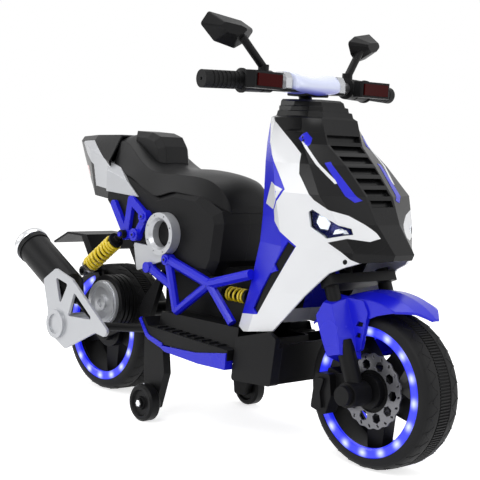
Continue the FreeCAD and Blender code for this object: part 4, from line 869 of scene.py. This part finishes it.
# share of the half width, and size of the section there
left_stations = [(0.2, 1.0), (0.45, 1.0), (0.7, 1.0), (0.88, 1.0), (0.97, 0.93), (1, 0.80)]
right_stations = [(-share, size) for share, size in reversed(left_stations)]
saddle_shape = bmesh.new()
saddle_rings = []
for share, size in right_stations + [(0, 1.0)] + left_stations:
    ring = []
    for x, z in saddle_section:
        upper = max(0.0, z - saddle_middle.z) / saddle_rise
        lower = max(0.0, saddle_middle.z - z) / saddle_depth
        drop = saddle_dip * upper * (1 - share ** 2) + saddle_keel * lower * (1 - abs(share))
        point = Vector((x, 0, z - drop))
        point = saddle_middle + (point - saddle_middle) * size + Vector((0, share * saddle_half, 0))
        ring.append(saddle_shape.verts.new(point / 1000))
    saddle_rings.append(ring)
bridge(saddle_shape, saddle_rings)
saddle_shape.faces.new(saddle_rings[0])
saddle_shape.faces.new(saddle_rings[-1][::-1])
saddle = settle(made_mesh("dash_saddle", saddle_shape, "dash_milk"), "steering", "dash", "dash_cover")
rounding = saddle.modifiers.new("rounding", "SUBSURF")
rounding.levels = 2
rounding.render_levels = 2

# %% Its lit edge
lit_edge_height = 0.655
milk_per_metre = 60.0
dash_tree = finishes["dash_milk"].node_tree
dash_shader = dash_tree.nodes["Principled BSDF"]
above_edge = maths(dash_tree, "SUBTRACT", object_place(dash_tree)["Z"], lit_edge_height)
milk_share = maths(dash_tree, "MULTIPLY", above_edge, milk_per_metre)
milk_share.node.use_clamp = True
lit_blue, milk, lit_colour = colour_mix(dash_tree, milk_share)
lit_blue.default_value = (0.05, 0.06, 0.80, 1)
dash_tree.links.new(dash_shader.inputs["Base Color"].links[0].from_socket, milk)
dash_tree.links.new(lit_colour, dash_shader.inputs["Base Color"])
dash_tree.links.new(lit_colour, dash_shader.inputs["Emission Color"])
dash_shader.inputs["Emission Strength"].default_value = 0.16
print("dash lit below", round(lit_edge_height + 1 / milk_per_metre, 3))

# %% [markdown]
# ## The brake disc
# The disc on the front wheel is a thin steel ring with a waved edge, large six-sided windows, and small
# slanted slots near the edge. Boolean cuts could open them, but thirty cuts in a thin sheet are slow and
# leave stray edges. A flat curve that is filled together with the curves inside it keeps them as holes.
# So one tree draws the edge, the bore and both rings of openings, fills them, and thickens the sheet.

# %% The tree for a disc with windows
disc, part_of, disc_done = new_tree("windowed_disc", {
    "Edge Radius": "Float", "Wave Depth": "Float", "Bore Radius": "Float", "Thickness": "Float",
    "Windows": "Int", "Window Radius": "Float", "Window Size": "Float",
    "Slots": "Int", "Slot Radius": "Float", "Slot Length": "Float", "Slot Width": "Float",
    "Slot Lean": "Float", "Place": "Vector", "Finish": "Material"})
edge_points = 240
bore_points = 72
window_sides = 6


def ring_of_openings(count, radius, opening, lean):
    """Sets copies of a flat curve round the middle of the disc."""
    turn = maths(disc, "MULTIPLY", step(disc, "GeometryNodeInputIndex", {}), math.tau)
    turn = maths(disc, "DIVIDE", turn, count)
    spot = step(disc, "ShaderNodeCombineXYZ", {
        "X": maths(disc, "MULTIPLY", maths(disc, "COSINE", turn), radius),
        "Y": maths(disc, "MULTIPLY", maths(disc, "SINE", turn), radius)})
    spots = step(disc, "GeometryNodePoints", {"Count": count, "Position": spot})
    way = step(disc, "ShaderNodeCombineXYZ", {"Z": maths(disc, "ADD", turn, lean)})
    return step(disc, "GeometryNodeInstanceOnPoints", {"Points": spots, "Instance": opening, "Rotation": way})


edge_point = step(disc, "GeometryNodeInputPosition", {})
edge_split = step(disc, "ShaderNodeSeparateXYZ", {"Vector": edge_point}).node.outputs
edge_turn = maths(disc, "ARCTAN2", edge_split["Y"], edge_split["X"])
wave = maths(disc, "COSINE", maths(disc, "MULTIPLY", edge_turn, part_of["Slots"]))
half_depth = maths(disc, "MULTIPLY", part_of["Wave Depth"], 0.5)
wave = maths(disc, "MULTIPLY", maths(disc, "SUBTRACT", wave, 1.0), half_depth)
outward = step(disc, "ShaderNodeVectorMath", {0: edge_point}, operation="NORMALIZE")
outward = step(disc, "ShaderNodeVectorMath", {0: outward, "Scale": wave}, operation="SCALE")
circle = "GeometryNodeCurvePrimitiveCircle"
edge = step(disc, circle, {"Resolution": edge_points, "Radius": part_of["Edge Radius"]})
edge = step(disc, "GeometryNodeSetPosition", {"Geometry": edge, "Offset": outward})
bore = step(disc, circle, {"Resolution": bore_points, "Radius": part_of["Bore Radius"]})
window = step(disc, circle, {"Resolution": window_sides, "Radius": part_of["Window Size"]})
slot = step(disc, "GeometryNodeCurvePrimitiveQuadrilateral", {
    "Width": part_of["Slot Length"], "Height": part_of["Slot Width"]}, mode="RECTANGLE")
windows = ring_of_openings(part_of["Windows"], part_of["Window Radius"], window, 0.0)
slots = ring_of_openings(part_of["Slots"], part_of["Slot Radius"], slot, part_of["Slot Lean"])
flat_curves = joined(disc, edge, bore, windows, slots)
flat_curves = step(disc, "GeometryNodeRealizeInstances", {"Geometry": flat_curves})
sheet = step(disc, "GeometryNodeFillCurve", {"Curve": flat_curves})
raised = step(disc, "GeometryNodeExtrudeMesh", {
    "Mesh": sheet, "Offset Scale": part_of["Thickness"], "Individual": False}, mode="FACES")
both_sides = joined(disc, raised, step(disc, "GeometryNodeFlipFaces", {"Mesh": sheet}))
whole = step(disc, "GeometryNodeMergeByDistance", {"Geometry": both_sides, "Distance": 1e-6})
whole = step(disc, "GeometryNodeTransform", {
    "Geometry": whole, "Translation": part_of["Place"], "Rotation": (math.pi / 2, 0, 0)})
end_tree(disc, whole, part_of["Finish"], disc_done)

# %% Brake disc
disc_low, disc_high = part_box("brake_disc")
disc_sizes = {
    "Edge Radius": 0.068, "Wave Depth": 0.0024, "Bore Radius": 0.038, "Thickness": disc_high[1] - disc_low[1],
    "Windows": 10, "Window Radius": 0.0482, "Window Size": 0.0097,
    "Slots": 20, "Slot Radius": 0.0618, "Slot Length": 0.0060, "Slot Width": 0.0034, "Slot Lean": 0.6,
    "Place": (front_axle.x, disc_high[1], front_axle.z), "Finish": finishes["disc_steel"]}
disc_mesh = grown(disc, disc_sizes)
disc_mesh.name = "windowed_disc"
settle(disc_mesh, "front_wheel", "silver_plastic", "brake_disc")

# %% [markdown]
# ## Skirts of the front fender and edges of the floor
# On the real bike the arch over the front wheel and the cover of each fork leg are one moulding. The skirt
# fills the corner between them. The two slots in the cover end before its edge and have a dark floor.
# A blue edge also runs along the side of each footboard and rises behind the heel.
# Scaled boxes could stand in for them, but their outlines are slanted and rounded.
# All are thin flat plates, so each is drawn by its outline and thickened across the bike.

# %% Fender skirts, slots and floor edges
def flat_pair(name, outline, inner, outer, finish):
    """Makes the same upright plate on both sides of the bike from its outline in millimetres."""
    shape = bmesh.new()
    for hand in (-1, 1):
        walls = []
        for reach in (inner, outer):
            walls.append([shape.verts.new(Vector((x, hand * reach, z)) / 1000) for x, z in outline])
        inner_wall, outer_wall = walls
        shape.faces.new(inner_wall)
        shape.faces.new(outer_wall[::-1])
        bridge(shape, walls)
    return made_mesh(name, shape, finish, smooth=False)


arch_edge_radius = 163.0
arch_edge = []
for lean in range(22, -3, -3):
    ahead = arch_edge_radius * math.sin(math.radians(lean))
    above = arch_edge_radius * math.cos(math.radians(lean))
    arch_edge.append((front_axle.x * 1000 + ahead, front_axle.z * 1000 + above))
skirt_low_edge = [(402, 296), (404, 283), (414, 271), (432, 279), (454, 285), (471, 289)]
slot_end = [(399.5, 232), (405.2, 232), (412.2, 272), (406.5, 272)]
slot_floor = [(386, 233), (403, 233), (409, 268), (386, 268)]
floor_edge = [
    (-50, 151), (-95, 164), (-104, 170), (-126, 201), (-121, 205), (-99, 178), (-93, 173), (-50, 162)]
flat_plates = [
    # name, outline, inner and outer reach, finish, body, slot
    ("fender_skirts", skirt_low_edge + arch_edge, 55.5, 58.0, "blue_gloss", "steering", "blue_plastic"),
    ("slot_ends", slot_end, 54.0, 61.8, "blue_gloss", "steering", "blue_plastic"),
    ("slot_floors", slot_floor, 54.5, 57.0, "black_satin", "steering", "black_plastic"),
    ("floor_edges", floor_edge, 132.0, 137.0, "blue_gloss", "chassis", "blue_plastic"),
]
for *plate, body, slot_name in flat_plates:
    settle(flat_pair(*plate), body, slot_name)

# %% [markdown]
# ## Screws
# The blue frame is held by socket-head screws, and one dark screw sits deep in each white panel.
# Each could be placed and turned by hand, but the panels lean, so rays find the places and the directions.
# A screw is a short tapered head with a six-sided socket. The tree sets one at each point of a small mesh,
# turned to the direction that the point keeps in an attribute.

# %% The tree for screws
screws, head, screws_done = new_tree("socket_screws", {
    "Points": "Geometry", "Radius": "Float", "Height": "Float", "Finish": "Material",
    "Socket Finish": "Material"})
head_sides = 16
head_taper = 0.86
socket_sides = 6
socket_share = 0.5
socket_proud = 1.04
dome = step(screws, "GeometryNodeMeshCone", {
    "Vertices": head_sides, "Radius Top": maths(screws, "MULTIPLY", head["Radius"], head_taper),
    "Radius Bottom": head["Radius"], "Depth": head["Height"]})
dome = step(screws, "GeometryNodeSetMaterial", {"Geometry": dome, "Material": head["Finish"]})
socket_radius = maths(screws, "MULTIPLY", head["Radius"], socket_share)
socket = step(screws, "GeometryNodeMeshCone", {
    "Vertices": socket_sides, "Radius Top": socket_radius, "Radius Bottom": socket_radius,
    "Depth": maths(screws, "MULTIPLY", head["Height"], socket_proud)})
socket = step(screws, "GeometryNodeSetMaterial", {"Geometry": socket, "Material": head["Socket Finish"]})
screw = joined(screws, dome, socket)
facing_way = screws.nodes.new("GeometryNodeInputNamedAttribute")
facing_way.data_type = "FLOAT_VECTOR"
facing_way.inputs["Name"].default_value = "facing"
upright = step(
    screws, "FunctionNodeAlignRotationToVector", {"Vector": facing_way.outputs["Attribute"]}, axis="Z")
set_screws = step(screws, "GeometryNodeInstanceOnPoints", {
    "Points": head["Points"], "Instance": screw, "Rotation": upright})
screws.links.new(step(screws, "GeometryNodeRealizeInstances", {"Geometry": set_screws}), screws_done)
print("tree", screws.name, "nodes", len(screws.nodes))


# %% Screws in the frame and the panels
def screw_set(name, surface, spots, radius, height, finish, socket_finish):
    """Sets screws on both sides of the bike where level rays meet a surface."""
    found = [touch(surface, x / 1000, z / 1000, hand) for x, z in spots for hand in (-1, 1)]
    dots = bpy.data.meshes.new(name)
    dots.from_pydata([place for place, normal in found], [], [])
    ways = dots.attributes.new("facing", "FLOAT_VECTOR", "POINT")
    ways.data.foreach_set("vector", [c for place, normal in found for c in normal])
    sizes = {"Radius": radius, "Height": height}
    sizes.update({"Finish": finishes[finish], "Socket Finish": finishes[socket_finish]})
    mesh = grown(screws, sizes, dots)
    mesh.name = name
    return mesh


frame_spots = [(-176, 402), (-204, 362), (-93, 322)]
frame_surface = surface_of("rear_links", "trellis_frames")
frame_screws = screw_set(
    "frame_screws", frame_surface, frame_spots, radius=0.0065, height=0.003,
    finish="blue_gloss", socket_finish="black_satin")
settle(frame_screws, "chassis", "blue_plastic")
panel_spots = [(375, 367)]
panel_screws = screw_set(
    "panel_screws", surface_of("side_panels"), panel_spots, radius=0.0045, height=0.0012,
    finish="black_satin", socket_finish="black_gloss")
settle(panel_screws, "chassis", "black_plastic")

# %% [markdown]
# ## Small bright fittings
# A few turned fittings catch the light: the rim at the end of the silencer, the ring around the start button,
# and the bolt that holds each stabiliser wheel. Ready-made cylinders could do, but their edges are sharp.
# A closed profile turned about its own axis, or a stepped tower, gives each edge its small chamfer.

# %% Silencer rim and button ring
silencer_axis = Vector((-0.132, 0, 0.070)).normalized()
silencer_end = Vector((-0.484, -0.152, 0.306))
rim_profile = [(11, 38.2), (12, 39.2), (24, 39.2), (26.6, 37), (26.6, 30), (24, 30), (24, 37.5)]
rim_shape = bmesh.new()
turned(rim_shape, rim_profile, silencer_end, silencer_axis, steps=64)
settle(made_mesh("silencer_rim", rim_shape, "chrome_trim"), "rear_unit", "silver_plastic")
button_face = middle_of("start_button")
button_face.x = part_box("start_button")[0][0]
button_profile = [(2, 12.8), (2, 15.5), (3.5, 17), (9, 17), (9, 12.8)]
ring_shape = bmesh.new()
turned(ring_shape, button_profile, button_face, Vector((1, 0, 0)), steps=48)
settle(made_mesh("button_ring", ring_shape, "chrome_trim"), "chassis", "silver_plastic")

# %% Stabiliser bolts
leg_low, leg_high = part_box("stabiliser_legs")
bolt_steps = [(7, -1), (7, 0.4), (5.5, 1.2), (3, 1.4)]
bolt_sides = [(-1, "stabiliser_wheel_right", leg_low[1]), (1, "stabiliser_wheel_left", leg_high[1])]
bolt_shape = bmesh.new()
for hand, wheel, leg_face in bolt_sides:
    hub = middle_of(wheel)
    hub.y = leg_face
    six_sided(bolt_shape, hub, Vector((0, hand, 0)), bolt_steps)
settle(made_mesh("stabiliser_bolts", bolt_shape, "chrome_trim", smooth=False), "chassis", "steel")
